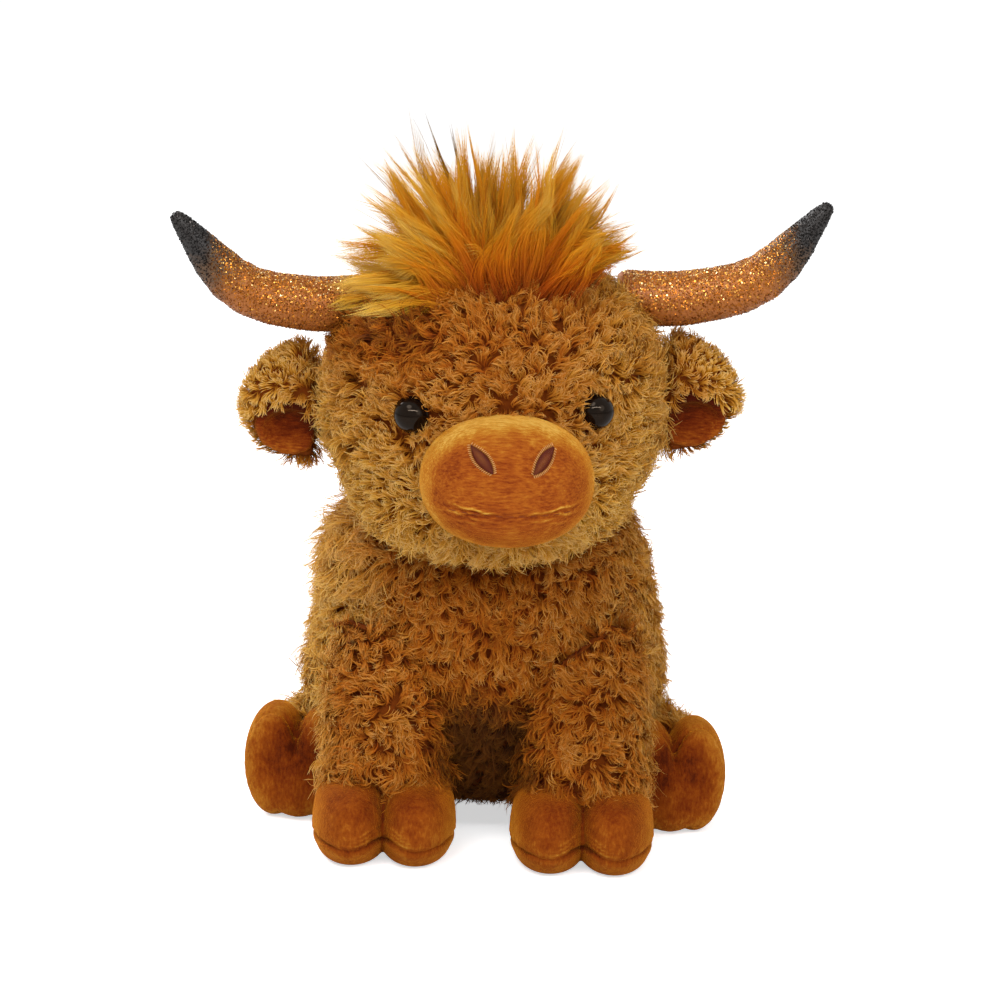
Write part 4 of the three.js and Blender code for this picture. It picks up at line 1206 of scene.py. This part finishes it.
def makeEar(side, sign, seed):
    rider, outerName, liningName = f"ear_{side}", f"ear_outer_{side}", f"ear_lining_{side}"
    skin = backedSkin(outerName, False, earSkin, rider)
    lining = skinOf(liningName, liningName, False, liningSkin)
    liningPoints = pointsAndNormals(lining)[0]
    middle = liningPoints.mean(axis=0)

    # distances from the lining's middle, away from the head and up, in mm
    def outAndUp(points):
        return sign * (points[:, 0] - middle[0]) / mm, (points[:, 2] - middle[2]) / mm

    # the pile lies outwards, but in front falls over the lining's upper edge
    def earLay(points, facing):
        falls = (np.clip(-facing[:, 1], 0, 1) * gaussian(outAndUp(points)[1] - 8, 6))[:, None]
        outwards = unit(points - middle) * 1.6 + np.array([0.8 * sign, 0.1, 0.1])
        return outwards * (1 - falls) + (down * 1.8 + np.array([0.5 * sign, 0, 0])) * falls

    # short at the top outer corner, long below and at the head
    def earLength(points):
        out, up = outAndUp(points)
        return 0.8 - 0.35 * rise(up - 8, 8) * rise(out + 8, 12) - 0.15 * rise(2 - up, 4) + 0.4 * rise(-out - 5, 6)

    # Paler away from the head and towards the top: partly the pile's golden colour, partly painted light on the
    # ear's upper side
    def earToneAndPaintedLight(points):
        out, up = outAndUp(points)
        return 0.32 + 0.6 * np.clip(out / 14, -0.2, 1) + 0.25 * rise(up - 8, 14)

    def keepOnEar(points, facing):
        margin = np.where(points[:, 2] > middle[2], -0.9, -1.8)
        return depthIn(points, liningName) < np.where(facing[:, 1] < -0.3, margin, 0.2) * mm

    out, up = outAndUp(liningPoints)
    # the lining is paler outwards and darker towards its top, a painted shadow of the pile that hangs over it
    setToneAndPaintedLight(lining, np.clip(0.08 + 0.015 * out - 0.045 * up, -0.4, 0.7))
    cup = addPiece(liningName, lining, liningVelour, rider, [liningName])
    grown = growFur(f"{outerName}_fur", skin, earLay, seed, earSetup, earLength, earToneAndPaintedLight, keepOnEar)
    addFur(f"{outerName}_fur", grown, rider)


makeEar("left", 1, 62)
makeEar("right", -1, 61)
print("ears made")


# Tail: a furry cord with a tuft of long pile

tailSetup = dict(furSetup, length=5 * mm, lockGap=1.7 * mm, lean=(25, 95), bend=(20, 120))
tuftSetup = dict(furSetup, length=19 * mm, lockGap=1.5 * mm, lean=(48, 96), bend=(5, 40), frizz=0.12, rows=8,
                 gather=0.5, swirls=[(8 * mm, 0.5)], taper=[1, 1, 1, 1, 0.95, 0.8, 0.5, 0])

tailSkin = backedSkin("tail", False, {"voxel": 1.3 * mm, "smoothing": 3, "inset": 2.0 * mm}, "tail")
tuftMiddle = nodePoints("tail_tuft").mean(axis=0)
tailDown = unit(tuftMiddle - nodePoints("tail").mean(axis=0))


def tailLay(points, facing):
    return np.tile(tailDown * 3, (len(points), 1))


addFur("tail_fur", growFur("tail_fur", tailSkin, tailLay, 71, tailSetup), "tail")
tuftSkin = backedSkin("tail_tuft", True, {"voxel": 1.4 * mm, "smoothing": 3, "inset": 4.0 * mm}, "tail")


# Long at the tuft's root, and shorter towards its end, so that the strands end together
def tuftLength(points):
    return 1 - 0.55 * np.clip((points - tuftMiddle) @ tailDown / (12 * mm) + 0.5, 0, 1)


tuftFur = growFur("tail_tuft_fur", tuftSkin, tailLay, 72, tuftSetup, lengthAt=tuftLength)
addFur("tail_tuft_fur", tuftFur, "tail", hairMaterial)
print("tail made")

# the washers stay inside, where they are
for name in ("eye_washer_left", "eye_washer_right"):
    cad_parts[name].data.materials.clear()
    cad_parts[name].data.materials.append(backingInPaintedShade)


# Floor and light

def makeStage():
    material, tree = newMaterial("white paper sweep")
    path = addNode(tree, "LightPath").outputs["Is Camera Ray"]
    paper = addNode(tree, "BsdfDiffuse", {"Color": (0.92, 0.92, 0.92, 1)})
    glow = addNode(tree, "Emission", {"Color": (1, 1, 1, 1), "Strength": 0.6})
    bright = addNode(tree, "AddShader", {0: paper, 1: glow})
    chosen = addNode(tree, "MixShader", {"Fac": path, 1: paper, 2: bright})
    addNode(tree, "OutputMaterial", {"Surface": chosen})
    far = 4
    corners = [(-far, -far, 0), (far, -far, 0), (far, far, 0), (-far, far, 0)]
    floor = meshOf("floor", corners, [[(0, 1, 2, 3)]], smooth=False)
    floor.materials.append(material)
    addObject("floor", floor)
    # the camera, reflections and what is seen through things meet white, and all else a softer light
    world = bpy.data.worlds.new("studio")
    bpy.context.scene.world = world
    world.use_nodes = True
    air = world.node_tree
    air.nodes.clear()
    seen = addNode(air, "LightPath").outputs
    direct = addNode(air, "Math", {0: seen["Is Camera Ray"], 1: seen["Is Glossy Ray"]}, operation="MAXIMUM")
    shown = addNode(air, "Math", {0: direct, 1: seen["Is Transmission Ray"]}, operation="MAXIMUM")
    strength = addNode(air, "MapRange", {"Value": shown, "To Min": 0.46, "To Max": 1.0})
    sky = addNode(air, "Background", {"Color": (1, 1, 1, 1), "Strength": strength})
    addNode(air, "OutputWorld", {"Surface": sky})


# An area lamp: a disk, or a strip where it is given a height
def addLamp(name, place, target, size, power, height=None):
    lamp = bpy.data.lights.new(name, "AREA")
    lamp.shape = "RECTANGLE" if height else "DISK"
    lamp.size = size
    if height:
        lamp.size_y = height
    lamp.energy = power
    holder = addObject(name, lamp)
    holder.location = place
    holder.rotation_euler = (Vector(place) - Vector(target)).to_track_quat("Z", "Y").to_euler()


makeStage()
breast, eyes = (0, -0.03, 0.12), (0, -0.09, 0.16)
addLamp("key", (-0.5, -0.9, 1.5), breast, 0.8, 9.4)
addLamp("fill", (0.9, -1.0, 0.7), breast, 0.8, 3)
addLamp("rim", (-0.8, 0.7, 0.8), breast, 0.7, 11)
addLamp("strip", (0.05, -0.75, 0.6), eyes, 0.95, 4.6, height=0.024)
bpy.context.scene.view_settings.view_transform = "Standard"
